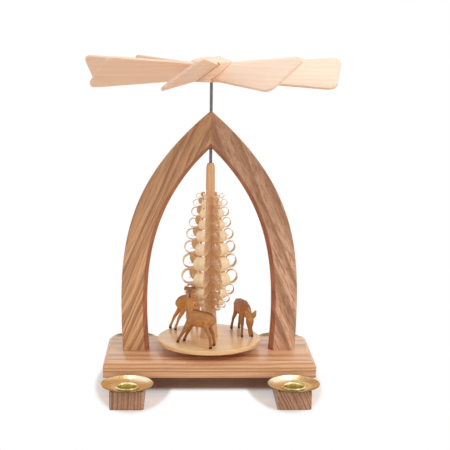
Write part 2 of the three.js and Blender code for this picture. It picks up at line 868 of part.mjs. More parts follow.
// Each deer stands at a place on the turntable, in shares of its radius, turned to its heading.
// Its feet are given forward and left of its middle, in shares of its height, in the order
// front left, front right, hind left, hind right, and its neck as forward, left and up.
const deerPoses = {
  deer_front: {
    placeShares: [-0.178, -0.616],
    heading: 147,
    feetShares: [[0.68, 0.1], [0.6, -0.11], [-0.39, 0.15], [-0.33, -0.16]],
    neckShares: [[0.37, 0, 1.02], [0.38, -0.01, 1.2], [0.36, 0, 1.43]],
    look: [-0.59, 0.73, -0.38]
  },
  deer_left: {
    placeShares: [-0.438, 0.718],
    heading: 40,
    feetShares: [[0.27, 0.1], [0.28, -0.15], [-0.5, 0.15], [-0.51, -0.1]],
    neckShares: [[0.27, 0, 0.95], [0.23, 0, 1.06], [0.22, 0, 1.16]],
    look: [0.93, 0.1, -0.3]
  },
  deer_right: {
    placeShares: [0.652, 0.296],
    heading: -72,
    feetShares: [[0.5, 0.13], [0.46, -0.17], [-0.48, 0.1], [-0.49, -0.13]],
    neckShares: [[0.44, 0, 0.83], [0.55, 0.01, 0.76], [0.62, 0.02, 0.67]],
    look: [0.13, -0.03, -0.98]
  }
};

const hipShares = [[0.27, 0.1, 0.7], [0.27, -0.1, 0.7], [-0.31, 0.09, 0.7], [-0.31, -0.09, 0.7]];
const kneeShares = [0.02, 0.02, -0.05, -0.05];

function deer(pose) {
  const legs = hipShares.map((hip, leg) =>
    deerLeg(hip, pose.feetShares[leg].map((share) => share * deerHeight), kneeShares[leg]));
  return geometryOf(unite([deerBody(), deerNeck(pose), deerHead(pose), deerTail(), ...legs]));
}

// Assembly
const carousel = new THREE.Group();
const stand = new THREE.Group();
const spinner = new THREE.Group();
carousel.add(stand, spinner);

function addPiece(group, name, geometry, material) {
  const mesh = new THREE.Mesh(geometry, material);
  mesh.name = name;
  group.add(mesh);
  return mesh;
}

addPiece(stand, 'base_plate', basePlate(), woodMaterial(colours.plateWood));
addPiece(stand, 'foot_bar_left', footBar(-1), woodMaterial(colours.plateWood));
addPiece(stand, 'foot_bar_right', footBar(1), woodMaterial(colours.plateWood));
addPiece(stand, 'arch_leg_left', archLeg(-1), woodMaterial(colours.ash));
addPiece(stand, 'arch_leg_right', archLeg(1), woodMaterial(colours.ash));
addPiece(stand, 'lower_bearing_cup', lowerBearingCup(), metalMaterial(colours.brass));
addPiece(stand, 'upper_guide_bush', upperGuideBush(), metalMaterial(colours.brass));

for (const [endName, end] of ends) {
  addPiece(stand, `apex_dowel_${endName}`, apexDowel(end, 0), woodMaterial(colours.dowel));
}
for (const [name, x, y] of footScrewPlaces) {
  addPiece(stand, name, screw(x, y, footScrewLength), metalMaterial(colours.steel));
}
for (const [name, x, y] of legScrewPlaces) {
  addPiece(stand, name, screw(x, y, legScrewLength), metalMaterial(colours.steel));
}

for (const [sideName, side] of sides) {
  for (const [endName, end] of ends) {
    const dish = addPiece(stand, `candle_dish_${endName}_${sideName}`, candleDish(), metalMaterial(colours.brass));
    dish.position.set(side * footX, end * holderY, 0);
    const cup = addPiece(stand, `candle_cup_${endName}_${sideName}`, candleCup(), metalMaterial(colours.brass));
    cup.position.set(side * footX, end * holderY, 0);
  }
}

addPiece(spinner, 'spindle', spindle(), metalMaterial(colours.steel));
addPiece(spinner, 'turntable', turntable(), woodMaterial(colours.disc));
addPiece(spinner, 'curl_tree', curlTree(), woodMaterial(colours.curl));
addPiece(spinner, 'rotor_hub', rotorHub(), woodMaterial(colours.maple));

for (const [name, pose] of Object.entries(deerPoses)) {
  const figure = addPiece(spinner, name, deer(pose), woodMaterial(colours.deer));
  const [x, y] = pose.placeShares.map((share) => share * turntableRadius);
  figure.position.set(x, y, turntableTop);
  figure.rotation.z = THREE.MathUtils.degToRad(pose.heading);
}

for (let blade = 0; blade < bladeCount; blade += 1) {
  const turn = new THREE.Group();
  turn.position.z = rotorHeight;
  turn.rotation.z = bladeTurn(blade);
  const mesh = addPiece(turn, `rotor_blade_${blade + 1}`, rotorBlade(), woodMaterial(colours.maple));
  mesh.rotation.x = THREE.MathUtils.degToRad(bladePitch);
  spinner.add(turn);
}

export default carousel;
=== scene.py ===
import bpy
import bmesh
import math
from mathutils import Matrix, Vector


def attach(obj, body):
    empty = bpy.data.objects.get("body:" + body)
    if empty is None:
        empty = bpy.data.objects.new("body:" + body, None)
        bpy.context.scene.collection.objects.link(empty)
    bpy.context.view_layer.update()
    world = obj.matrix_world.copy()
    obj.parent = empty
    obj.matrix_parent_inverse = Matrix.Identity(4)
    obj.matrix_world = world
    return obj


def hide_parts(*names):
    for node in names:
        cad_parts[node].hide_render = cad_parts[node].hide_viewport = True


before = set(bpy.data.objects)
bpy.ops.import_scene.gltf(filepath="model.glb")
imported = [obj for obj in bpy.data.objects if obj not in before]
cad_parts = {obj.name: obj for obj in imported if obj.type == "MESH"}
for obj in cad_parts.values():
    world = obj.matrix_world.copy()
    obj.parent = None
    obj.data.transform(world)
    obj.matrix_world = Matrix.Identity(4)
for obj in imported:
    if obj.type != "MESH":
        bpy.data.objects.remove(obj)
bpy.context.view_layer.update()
mm = 0.001
turn = math.tau


# small helpers for meshes

def shade(mesh, smoothAngle):
    for face in mesh.polygons:
        face.use_smooth = True
    mesh.set_sharp_from_angle(angle=math.radians(smoothAngle))
    return mesh


def newPiece(name, form, smoothAngle=32):
    mesh = bpy.data.meshes.new(name)
    form.to_mesh(mesh)
    form.free()
    piece = bpy.data.objects.new(name, shade(mesh, smoothAngle))
    bpy.context.collection.objects.link(piece)
    return piece


def settle(piece, smoothAngle=32):
    # the evaluated shape becomes a plain mesh, and the modifiers go
    bpy.context.view_layer.update()
    depsgraph = bpy.context.evaluated_depsgraph_get()
    mesh = bpy.data.meshes.new_from_object(piece.evaluated_get(depsgraph))
    piece.modifiers.clear()
    old = piece.data
    piece.data = shade(mesh, smoothAngle)
    bpy.data.meshes.remove(old)
    mesh.name = piece.name


def cutFrom(piece, cutters):
    for cutter in cutters:
        step = piece.modifiers.new("cut", "BOOLEAN")
        step.operation = "DIFFERENCE"
        step.object = cutter
        step.solver = "EXACT"
    settle(piece)
    for cutter in cutters:
        mesh = cutter.data
        bpy.data.objects.remove(cutter)
        bpy.data.meshes.remove(mesh)


def vertexAt(form, x, y, z):
    # a corner of the form, from a place in mm
    return form.verts.new(Vector((x, y, z)) * mm)


def arc(centre, radius, first, last, steps, rise=None):
    # points on a round edge, from the first to the last angle in quarter turns
    x, y = centre
    angles = [turn / 4 * (first + (last - first) * at / steps) for at in range(steps + 1)]
    return [(x + math.cos(angle) * radius, y + math.sin(angle) * (rise or radius)) for angle in angles]


def turned(name, profile, steps, centre=(0, 0)):
    # a profile of (radius, height) pairs in mm closes on itself, unless it starts and ends on the axis
    form = bmesh.new()
    closed = profile[0][0] > 0
    columns = []
    for step in range(steps):
        aside, back = math.cos(step * turn / steps), math.sin(step * turn / steps)
        columns.append([
            columns[0][at] if step and radius == 0 else
            vertexAt(form, centre[0] + aside * radius, centre[1] + back * radius, height)
            for at, (radius, height) in enumerate(profile)])
    for here, there in zip(columns, columns[1:] + columns[:1]):
        for span in range(len(profile) if closed else len(profile) - 1):
            after = (span + 1) % len(profile)
            corners = dict.fromkeys((here[span], there[span], there[after], here[after]))
            if len(corners) > 2:
                form.faces.new(corners)
    bmesh.ops.recalc_face_normals(form, faces=form.faces)
    return newPiece(name, form)


def rodCutter(x, y, radius, low, high, steps=48):
    return turned("rod", [(0, low), (radius, low), (radius, high), (0, high)], steps, (x, y))


def skinRings(form, rings):
    # a closed skin over rings of corners, one facet from each corner to the next
    faces = []
    for lower, upper in zip(rings, rings[1:]):
        for at in range(len(lower)):
            after = (at + 1) % len(lower)
            faces.append(form.faces.new((lower[at], lower[after], upper[after], upper[at])))
    faces.append(form.faces.new(list(reversed(rings[0]))))
    faces.append(form.faces.new(rings[-1]))
    return faces


def grainFrom(piece, along, across, shift=(0, 0, 0)):
    # each wooden piece carries its own place in the plank: across, through and along the grain
    along, across = Vector(along).normalized(), Vector(across)
    across = (across - along * across.dot(along)).normalized()
    ways = (across, along.cross(across), along)
    layer = piece.data.attributes.new("grainPlace", "FLOAT_VECTOR", "POINT")
    layer.data.foreach_set("vector", [
        vertex.co.dot(way) + moved for vertex in piece.data.vertices for way, moved in zip(ways, shift)])


# small helpers for node trees

class Channel:
    # a value that runs through a node tree and is reckoned with like a number
    def __init__(self, socket):
        self.socket = socket
        self.tree = socket.id_data

    def __add__(self, other):
        return calc(self.tree, "ADD", self, other)

    def __sub__(self, other):
        return calc(self.tree, "SUBTRACT", self, other)

    def __rsub__(self, other):
        return calc(self.tree, "SUBTRACT", other, self)

    def __mul__(self, other):
        return calc(self.tree, "MULTIPLY", self, other)

    def __truediv__(self, other):
        return calc(self.tree, "DIVIDE", self, other)

    def __rtruediv__(self, other):
        return calc(self.tree, "DIVIDE", other, self)


def colour(red, green, blue):
    # a colour as seen on screen, made linear
    return tuple(part / 12.92 if part <= 0.04045 else ((part + 0.055) / 1.055) ** 2.4
                 for part in (red / 255, green / 255, blue / 255))


def feed(node, values):
    # a channel is linked, and a plain value or a colour as seen on screen is set
    for label, value in values.items():
        socket = node.inputs[label]
        if isinstance(value, Channel):
            value.tree.links.new(value.socket, socket)
        else:
            socket.default_value = (*colour(*value), 1) if socket.type == "RGBA" else value
    return node


def nodeIn(tree, kind, values=None, **settings):
    node = tree.nodes.new(kind)
    for name, value in settings.items():
        setattr(node, name, value)
    return feed(node, values or {})


def out(node, label=0):
    return Channel(node.outputs[label])


def calc(tree, operation, *values):
    return out(nodeIn(tree, "ShaderNodeMath", dict(enumerate(values)), operation=operation))


def greater(first, second):
    return calc(first.tree, "MAXIMUM", first, second)


def lesser(first, second):
    return calc(first.tree, "MINIMUM", first, second)


def sizeOf(value):
    return calc(value.tree, "ABSOLUTE", value)


def distance(x, y):
    return calc(x.tree, "SQRT", x * x + y * y)


def vectorCalc(operation, first, second):
    return out(nodeIn(first.tree, "ShaderNodeVectorMath", {0: first, 1: second}, operation=operation))


def stretched(place, share):
    # a figure is drawn out along the board, where it takes up a share of the length
    return vectorCalc("MULTIPLY", place, (1, 1, share))


def smoothStep(value, low, high):
    return out(nodeIn(value.tree, "ShaderNodeMapRange", {
        "Value": value, "From Min": low, "From Max": high}, interpolation_type="SMOOTHSTEP"), "Result")


def rangeStep(value, low, high, first, last):
    return out(nodeIn(value.tree, "ShaderNodeMapRange", {
        "Value": value, "From Min": low, "From Max": high, "To Min": first, "To Max": last}), "Result")


def noiseAt(place, scale, detail, roughness=0.5):
    return out(nodeIn(place.tree, "ShaderNodeTexNoise", {
        "Vector": place, "Scale": scale, "Detail": detail, "Roughness": roughness}), "Fac")


def mixColour(tree, share, first, second):
    return out(nodeIn(tree, "ShaderNodeMix", {0: share, 6: first, 7: second}, data_type="RGBA"), 2)


def bumpOf(height, strength, depth):
    return out(nodeIn(height.tree, "ShaderNodeBump", {
        "Height": height, "Strength": strength, "Distance": depth}), "Normal")


def splitUp(place):
    node = nodeIn(place.tree, "ShaderNodeSeparateXYZ", {0: place})
    return [out(node, axis) for axis in range(3)]


def joined(tree, **axes):
    return out(nodeIn(tree, "ShaderNodeCombineXYZ", {axis.upper(): value for axis, value in axes.items()}))


def newGroup(name, kind, inputs, outputs):
    # inputs and outputs have a label and a kind, or in place of the kind a number to start from
    group = bpy.data.node_groups.new(name, kind)
    for way, sockets in (("INPUT", inputs), ("OUTPUT", outputs)):
        for label, value in sockets.items():
            sort = value if isinstance(value, str) else "Float"
            socket = group.interface.new_socket(label, in_out=way, socket_type="NodeSocket" + sort)
            if sort != value:
                socket.default_value = value
    entry = group.nodes.new("NodeGroupInput")
    return group, {label: out(entry, label) for label in inputs}, group.nodes.new("NodeGroupOutput")


def newMaterial(name):
    material = bpy.data.materials.new(name)
    material.use_nodes = True
    return material, material.node_tree, material.node_tree.nodes["Principled BSDF"]


def placeIn(tree, attribute="grainPlace"):
    if attribute:
        return out(nodeIn(tree, "ShaderNodeAttribute", attribute_name=attribute), "Vector")
    return out(nodeIn(tree, "ShaderNodeTexCoord"), "Object")


def groupIn(group, place, values):
    node = nodeIn(place.tree, "ShaderNodeGroup", {"Place": place, **values}, node_tree=group)
    return {socket.name: Channel(socket) for socket in node.outputs}


def smudgeAt(place, size, amount):
    return groupIn(handling, place, {"Size": size, "Amount": amount})["Smudge"]


# shared effects

board = {
    # how far each figure is drawn out along the board, as a share of its length
    "slowShare": 0.22, "rippleShare": 0.2, "fibreShare": 0.026, "streakShare": 0.02, "poreShare": 0.07,
    # where in a year's ring each kind of wood starts and is full, and where a fibre is a pore
    "late": (0.25, 0.86), "lateEnd": (0.9, 1.0), "earlyEnd": (0.1, 0.4), "pore": (0.6, 0.72),
    "yearSize": 0.45, "yearSpread": 1.6, "ringWander": 4.0, "fibreWander": 3.0, "rippleSize": 50,
    "driftSize": 9, "poreFineness": 1.7, "poresLate": 0.3, "lateBreak": (0.55, 0.9),
    # where streaks and fibres show in the finish, and how late wood, fibres and smudges change its surface
    "streakSeen": (0.48, 0.66), "fibreSeen": (0.42, 0.72), "lateGloss": -0.05, "fibreRise": 0.5,
    "bumpDepth": 0.00012, "smudge": (60, 0.12),
}


def buildWoodFigure():
    # growth rings, long fibres, open pores and slow colour drift of a sawn board
    group, given, made = newGroup("woodFigure", "ShaderNodeTree", {
        "Place": "Vector", "Ring Width": 0.004, "Pith Across": 0.03, "Pith Through": 0.05, "Wander": 0.003,
        "Wander Size": 14.0, "Fibre Size": 0.0006, "Streak Size": 0.0024},
        {"Late Wood": "Float", "Fibre": "Float", "Streak": "Float", "Pores": "Float", "Drift": "Float"})
    place, wander = given["Place"], given["Wander"]
    slow = stretched(place, board["slowShare"])
    offset = (noiseAt(slow, given["Wander Size"], 3, 0.55) - 0.5) * wander
    x, y, _ = splitUp(place)
    radius = distance(x + given["Pith Across"], y + given["Pith Through"]) + offset * board["ringWander"]
    years = radius / given["Ring Width"]
    uneven = nodeIn(group, "ShaderNodeTexNoise", {
        "W": years, "Scale": board["yearSize"], "Detail": 1.0}, noise_dimensions="1D")
    year = calc(group, "FRACT", years + out(uneven, "Fac") * board["yearSpread"])
    late = smoothStep(year, *board["late"]) * (1.0 - smoothStep(year, *board["lateEnd"]))
    early = 1.0 - smoothStep(year, *board["earlyEnd"])
    ripple = noiseAt(stretched(place, board["rippleShare"]), board["rippleSize"], 2)
    bend = (ripple - 0.5) * wander + offset * board["fibreWander"]
    bent = vectorCalc("ADD", place, joined(group, x=bend, y=bend))
    fine = 1.0 / given["Fibre Size"]
    pore = noiseAt(stretched(bent, board["poreShare"]), fine * board["poreFineness"], 2)
    pores = smoothStep(pore, *board["pore"])
    feed(made, {
        "Late Wood": late, "Fibre": noiseAt(stretched(bent, board["fibreShare"]), fine, 4, 0.62),
        "Streak": noiseAt(stretched(bent, board["streakShare"]), 1.0 / given["Streak Size"], 3, 0.6),
        "Pores": pores * (early * (1 - board["poresLate"]) + board["poresLate"]),
        "Drift": noiseAt(slow, board["driftSize"], 2)})
    return group


def buildHandling():
    # faint smudges and dust that soften the sheen
    group, given, made = newGroup("handling", "ShaderNodeTree", {
        "Place": "Vector", "Size": "Float", "Amount": "Float"}, {"Smudge": "Float"})
    cloud = noiseAt(given["Place"], given["Size"], 4, 0.6)
    feed(made, {"Smudge": (cloud - 0.5) * given["Amount"]})
    return group


woodFigure = buildWoodFigure()
handling = buildHandling()
print("shared effects are built")


def woodMaterial(name, look):
    material, tree, surface = newMaterial(name)
    place = placeIn(tree, look.get("attribute", "grainPlace"))
    figure = groupIn(woodFigure, place, look["figure"])
    tint = mixColour(tree, figure["Drift"], look["pale"], look["warm"])
    # dark late wood breaks up where the streaks run pale
    least, more = board["lateBreak"]
    lateShare = figure["Late Wood"] * (figure["Streak"] * more + least) * look["lateShare"]
    tint = mixColour(tree, lesser(lateShare, 1.0), tint, look["late"])
    streaks = smoothStep(figure["Streak"], *board["streakSeen"])
    tint = mixColour(tree, streaks * look.get("streakShare", 0.2), tint, look["fibre"])
    fibres = smoothStep(figure["Fibre"], *board["fibreSeen"])
    tint = mixColour(tree, fibres * look["fibreShare"], tint, look["fibre"])
    tint = mixColour(tree, figure["Pores"] * look["poreShare"], tint, look["pore"])
    if "topDarkening" in look:
        # it is darker towards the top
        _, _, z = splitUp(placeIn(tree, None))
        darkened = smoothStep(z, *look["topDarkeningHeights"]) * look["topDarkeningShare"]
        tint = mixColour(tree, darkened, tint, look["topDarkening"])
    if "core" in look:
        # painted shade: browner near the stem, where the roots of the shavings lie in shadow
        x, y, _ = splitUp(placeIn(tree, None))
        inner = 1.0 - smoothStep(distance(x, y), *look["coreReach"])
        tint = mixColour(tree, inner * look["coreShare"], tint, look["core"])
    rough = figure["Late Wood"] * board["lateGloss"] + look["roughness"]
    height = figure["Fibre"] * board["fibreRise"] - figure["Pores"]
    feed(surface, {
        "Base Color": tint, "Specular IOR Level": look.get("specular", 0.35),
        "Roughness": rough + smudgeAt(place, *board["smudge"]),
        "Normal": bumpOf(height, look.get("bump", 0.25), board["bumpDepth"])})
    return material


def metalMaterial(name, look):
    material, tree, surface = newMaterial(name)
    place = placeIn(tree, None)
    cloud = smudgeAt(place, look["smudgeSize"], 1.0) + 0.5
    tint = mixColour(tree, cloud * look["tarnish"], look["clean"], look["dull"])
    if "wear" in look:
        # painted reflection: a bright wedge on each dish on the side towards the plate; painted shade: darker
        # on the far side
        wear = look["wear"]
        x, y, _ = splitUp(place)
        inwards, backwards = wear["barX"] - sizeOf(x), wear["holderY"] - sizeOf(y)
        edge = smoothStep(inwards + backwards * wear["edgeSlant"], *wear["edgeReach"])
        side = smoothStep(backwards - inwards * wear["sideSlant"], *wear["sideReach"])
        tint = mixColour(tree, smoothStep(backwards, *wear["darkReach"]), tint, wear["dark"])
        tint = mixColour(tree, edge * side, tint, wear["paintedGlint"])
    fine = smudgeAt(place, look["smudgeSize"] * 3, look["smudge"])
    feed(surface, {"Base Color": tint, "Roughness": fine + look["roughness"], "Metallic": 1.0})
    return material


# camera, floor and light

view = {"place": (-0.02265, -0.8452, 0.2738), "down": 0.1675, "turn": -0.0411, "roll": 0.0123,
        "focalPixels": 1061.3, "frame": 450, "sensor": 36}
studio = {
    "world": 0.45, "lampAim": (0, 0, 0.12),
    # place, width and power
    "lamps": {"keyRight": ((0.75, -0.7, 0.95), 0.7, 5.8), "fillLeft": ((-0.85, -0.75, 0.7), 0.8, 2.1),
              "topSoft": ((0.1, 0.2, 1.3), 0.9, 6.0)},
    "ovalColour": (248, 228, 215), "underColour": (250, 243, 240), "paleness": 0.42,
    "ovalCentre": 0.061, "ovalHalfWidth": 0.031, "ovalHalfLength": 0.077, "fade": (0.86, 1.1),
    "underHalfWidth": 0.073, "underHalfLength": 0.0225, "underFade": (0.75, 1.3),
}


def buildCamera():
    data = bpy.data.cameras.new("camera")
    data.lens = view["focalPixels"] / view["frame"] * view["sensor"]
    data.sensor_width = view["sensor"]
    data.clip_start = 0.01
    data.clip_end = 50
    camera = bpy.data.objects.new("camera", data)
    bpy.context.collection.objects.link(camera)
    camera.location = view["place"]
    aim = Matrix.Rotation(view["turn"], 3, "Z") @ Matrix.Rotation(math.pi / 2 - view["down"], 3, "X")
    camera.rotation_euler = (aim @ Matrix.Rotation(view["roll"], 3, "Z")).to_euler()
    bpy.context.scene.camera = camera


def seenRays(tree):
    # one where the camera looks, also in a mirror, and nothing for the light that falls on the object
    path = nodeIn(tree, "ShaderNodeLightPath")
    seen = greater(out(path, "Is Camera Ray"), out(path, "Is Glossy Ray"))
    return greater(seen, out(path, "Is Transmission Ray"))


def mixShader(share, first, second):
    return out(nodeIn(share.tree, "ShaderNodeMixShader", {0: share, 1: out(first), 2: out(second)}))


def paperSweep():
    # the paper shows its shade in an oval round each foot bar and under the plate, and is white beyond
    material, tree, surface = newMaterial("paperSweep")
    x, y, _ = splitUp(placeIn(tree, None))
    sideways, forward = sizeOf(x), sizeOf(y)
    aside = (sideways - studio["ovalCentre"]) / studio["ovalHalfWidth"]
    oval = distance(aside, forward / studio["ovalHalfLength"])
    under = greater(sideways / studio["underHalfWidth"], forward / studio["underHalfLength"])
    outside = smoothStep(under, *studio["underFade"])
    far = greater(smoothStep(oval, *studio["fade"]) * outside, outside * studio["paleness"])
    shaded = mixColour(tree, outside, studio["underColour"], studio["ovalColour"])
    feed(surface, {"Base Color": shaded, "Roughness": 0.9, "Specular IOR Level": 0.1})
    light = nodeIn(tree, "ShaderNodeEmission", {"Strength": 1.0})
    feed(tree.nodes["Material Output"], {"Surface": mixShader(far * seenRays(tree), surface, light)})
    return material


def buildStudio():
    scene = bpy.context.scene
    scene.view_settings.view_transform = "Standard"
    scene.world = bpy.data.worlds.new("studio")
    scene.world.use_nodes = True
    tree = scene.world.node_tree
    white = (255, 255, 255)
    lit = feed(tree.nodes["Background"], {"Color": white, "Strength": studio["world"]})
    bright = nodeIn(tree, "ShaderNodeBackground", {"Color": white, "Strength": 1.0})
    feed(tree.nodes["World Output"], {"Surface": mixShader(seenRays(tree), lit, bright)})

    form = bmesh.new()
    bmesh.ops.create_grid(form, x_segments=1, y_segments=1, size=6)
    floor = newPiece("floor", form)
    floor.data.materials.append(paperSweep())
    for name, (place, width, power) in studio["lamps"].items():
        data = bpy.data.lights.new(name, "AREA")
        data.shape = "DISK"
        data.size = width
        data.energy = power
        lamp = bpy.data.objects.new(name, data)
        bpy.context.collection.objects.link(lamp)
        lamp.location = place
        aim = Vector(studio["lampAim"]) - Vector(place)
        lamp.rotation_euler = aim.to_track_quat("-Z", "Y").to_euler()


buildCamera()
buildStudio()
print("camera, floor and light are set")


# finishes, in colours as seen on screen

ashFigure = {"Ring Width": 0.0062, "Pith Across": 0.016, "Pith Through": 0.055, "Wander": 0.003,
             "Wander Size": 20.0, "Fibre Size": 0.0012, "Streak Size": 0.0021}
ashLook = {
    "figure": ashFigure, "pale": (248, 200, 156), "warm": (226, 172, 120), "late": (150, 102, 68),
    "lateShare": 0.55, "fibre": (146, 98, 66), "streakShare": 0.42, "fibreShare": 0.75, "pore": (104, 68, 46),
    "poreShare": 0.6, "roughness": 0.5, "bump": 0.3}
# the arch's ash is darker towards the top
topDarkening = {"topDarkening": (132, 96, 68), "topDarkeningHeights": (0.05, 0.2), "topDarkeningShare": 0.42}
archAsh = woodMaterial("archAsh", {**ashLook, **topDarkening})
archAshDark = woodMaterial("archAshDark", {
    **ashLook, **topDarkening, "pale": (255, 214, 182), "warm": (216, 166, 132), "lateShare": 0.68,
    "topDarkeningShare": 0.52, "streakShare": 0.25, "figure": {
        **ashFigure, "Ring Width": 0.0125, "Pith Across": 0.03, "Pith Through": 0.02, "Wander": 0.0055,
        "Wander Size": 15.0}})
# the routed faces of the opening: a darker reddish stain, with painted shade
routedAshStainAndShade = woodMaterial("routedAshStainAndShade", {
    **ashLook, **topDarkening, "pale": (204, 138, 104), "warm": (188, 122, 88), "late": (138, 82, 58),
    "fibre": (156, 96, 68), "topDarkeningShare": 0.25})
plateFigure = {**ashFigure, "Ring Width": 0.0036, "Pith Across": 0.004, "Pith Through": 0.09,
               "Wander": 0.0012, "Streak Size": 0.0014}
plateLook = {
    **ashLook, "figure": plateFigure, "warm": (236, 180, 130), "late": (172, 114, 74), "lateShare": 0.72,
    "streakShare": 0.45, "fibre": (186, 130, 90), "fibreShare": 0.45, "poreShare": 0.4, "roughness": 0.34,
    "specular": 0.5}
plateAsh = woodMaterial("plateAsh", plateLook)
barAsh = woodMaterial("barAsh", {
    **plateLook, "figure": {**plateFigure, "Ring Width": 0.0026, "Wander": 0.0006}, "pale": (216, 172, 142),
    "warm": (200, 154, 122), "late": (136, 92, 66), "lateShare": 0.85, "fibre": (156, 110, 82),
    "roughness": 0.5})
mapleFigure = {"Wander Size": 12.0, "Fibre Size": 0.0005}
rotorMaple = woodMaterial("rotorMaple", {
    "figure": {
        **mapleFigure, "Ring Width": 0.0035, "Pith Across": 0.02, "Pith Through": 0.04, "Wander": 0.0015},
    "pale": (248, 223, 200), "warm": (244, 214, 189), "late": (234, 195, 168), "lateShare": 0.24,
    "fibre": (222, 182, 154), "fibreShare": 0.16, "pore": (190, 150, 122), "poreShare": 0.12,
    "roughness": 0.55, "bump": 0.15})
discMaple = woodMaterial("discMaple", {
    "figure": {
        **mapleFigure, "Ring Width": 0.005, "Pith Across": 0.01, "Pith Through": 0.06, "Wander": 0.002},
    "pale": (252, 212, 160), "warm": (246, 202, 148), "late": (226, 172, 116), "lateShare": 0.4,
    "fibre": (220, 166, 112), "fibreShare": 0.25, "pore": (180, 130, 86), "poreShare": 0.1,
    "roughness": 0.24, "specular": 0.5, "bump": 0.06})
dowelBeech = woodMaterial("dowelBeech", {
    "attribute": None, "figure": {"Ring Width": 0.002, "Pith Across": 0.004, "Fibre Size": 0.0004},
    "pale": (222, 188, 148), "warm": (210, 172, 132), "late": (184, 142, 104), "lateShare": 0.4,
    "fibre": (170, 128, 92), "fibreShare": 0.3, "pore": (140, 100, 70), "poreShare": 0.2, "roughness": 0.6})
limeFigure = {"Pith Through": 0.02, "Wander": 0.001, "Wander Size": 20.0, "Fibre Size": 0.0005}
shavedLime = woodMaterial("shavedLime", {
    "figure": {**limeFigure, "Ring Width": 0.0024, "Pith Across": 0.01},
    "pale": (255, 233, 196), "warm": (255, 225, 182), "late": (248, 202, 156), "lateShare": 0.25,
    "fibre": (222, 166, 116), "fibreShare": 0.25, "pore": (196, 140, 94), "poreShare": 0.15,
    # painted shade: the shavings turn browner near the stem, where their roots are shaded
    "core": (206, 138, 92), "coreReach": (0.007, 0.0125), "coreShare": 0.34, "roughness": 0.5, "bump": 0.2})
feed(shavedLime.node_tree.nodes["Principled BSDF"], {
    "Subsurface Weight": 0.12, "Subsurface Radius": (1.0, 0.7, 0.45), "Subsurface Scale": 0.002})
turnedLime = woodMaterial("turnedLime", {
    "figure": {**limeFigure, "Ring Width": 0.0021, "Pith Across": 0.012},
    "pale": (238, 196, 150), "warm": (228, 182, 134), "late": (206, 152, 106), "lateShare": 0.35,
    "fibre": (196, 144, 102), "fibreShare": 0.3, "pore": (170, 120, 84), "poreShare": 0.2,
    "roughness": 0.55, "bump": 0.2})
pressedBrass = metalMaterial("pressedBrass", {
    "clean": (250, 240, 190), "dull": (226, 204, 150), "tarnish": 0.9, "smudgeSize": 90,
    # painted reflection and painted shade on the dishes: a bright wedge towards the plate, darker away from
    # it
    "roughness": 0.24, "smudge": 0.06, "wear": {
        "paintedGlint": (250, 240, 208), "dark": (140, 122, 74), "barX": 0.064, "holderY": 0.06365,
        "edgeSlant": 0.15, "edgeReach": (0.0024, 0.0036), "sideSlant": 0.45, "sideReach": (-0.001, 0.0025),
        "darkReach": (-0.004, -0.013)}})
# painted shade for the inside of the cups' bores
boreShadeBrass = metalMaterial("boreShadeBrass", {
    "clean": (238, 220, 146), "dull": (150, 130, 66), "tarnish": 1.0, "smudgeSize": 520,
    "roughness": 0.34, "smudge": 0.2})
bearingBrass = metalMaterial("bearingBrass", {
    "clean": (214, 180, 104), "dull": (170, 134, 72), "tarnish": 0.7, "smudgeSize": 200,
    "roughness": 0.34, "smudge": 0.12})
drawnSteel = metalMaterial("drawnSteel", {
    "clean": (132, 122, 124), "dull": (96, 86, 88), "tarnish": 0.8, "smudgeSize": 260,
    "roughness": 0.36, "smudge": 0.14})
zincSteel = metalMaterial("zincSteel", {
    "clean": (184, 184, 188), "dull": (140, 140, 144), "tarnish": 0.8, "smudgeSize": 260,
    "roughness": 0.38, "smudge": 0.16})
print("finishes are mixed")


# base plate and foot bars

stand = {
    "plateSize": (168.5, 80.2, 12.7), "plateBottom": 15, "plateCorner": 1.2, "plateChamfer": 3.1, "ease": 0.3,
    "barSize": (26.2, 146.2, 15), "barRound": 0.9, "barCorner": 1.2, "barX": 64, "holderY": 63.65,
    "cupHole": 8.1, "cupFloor": 2.7, "bearingHole": 5.3, "bearingDepth": 5.3,
    "screwX": 64, "screwY": 31, "legScrewX": 59.6, "screwHead": 3.7, "screwSeat": 3.2,
}


def boardFrom(size, bottom, rounding, layers, centre, steps=5):
    # layers are (inset, height over the bottom) pairs from the underside to the top
    form = bmesh.new()
    rings = []
    for inset, height in layers:
        reachX, reachY = size[0] / 2 - inset - rounding, size[1] / 2 - inset - rounding
        outline = []
        for quarter, (signX, signY) in enumerate(((1, 1), (-1, 1), (-1, -1), (1, -1))):
            middle = (centre[0] + signX * reachX, centre[1] + signY * reachY)
            outline += arc(middle, rounding, quarter, quarter + 1, steps)
        rings.append([vertexAt(form, x, y, bottom + height) for x, y in outline])
    skinRings(form, rings)
    return form


def roundedLayers(thickness, edge, steps=4):
    return arc((edge, edge), edge, -1, -2, steps) + arc((edge, thickness - edge), edge, 2, 1, steps)


def chamferLayers(thickness, chamfer, ease):
    # both ends of the slanted face are eased a little
    return [(ease, 0), (0, ease), (0, thickness - chamfer - ease),
            (ease * 0.3, thickness - chamfer + ease * 0.1), (chamfer - ease * 0.3, thickness - ease * 0.3),
            (chamfer + ease * 0.4, thickness)]


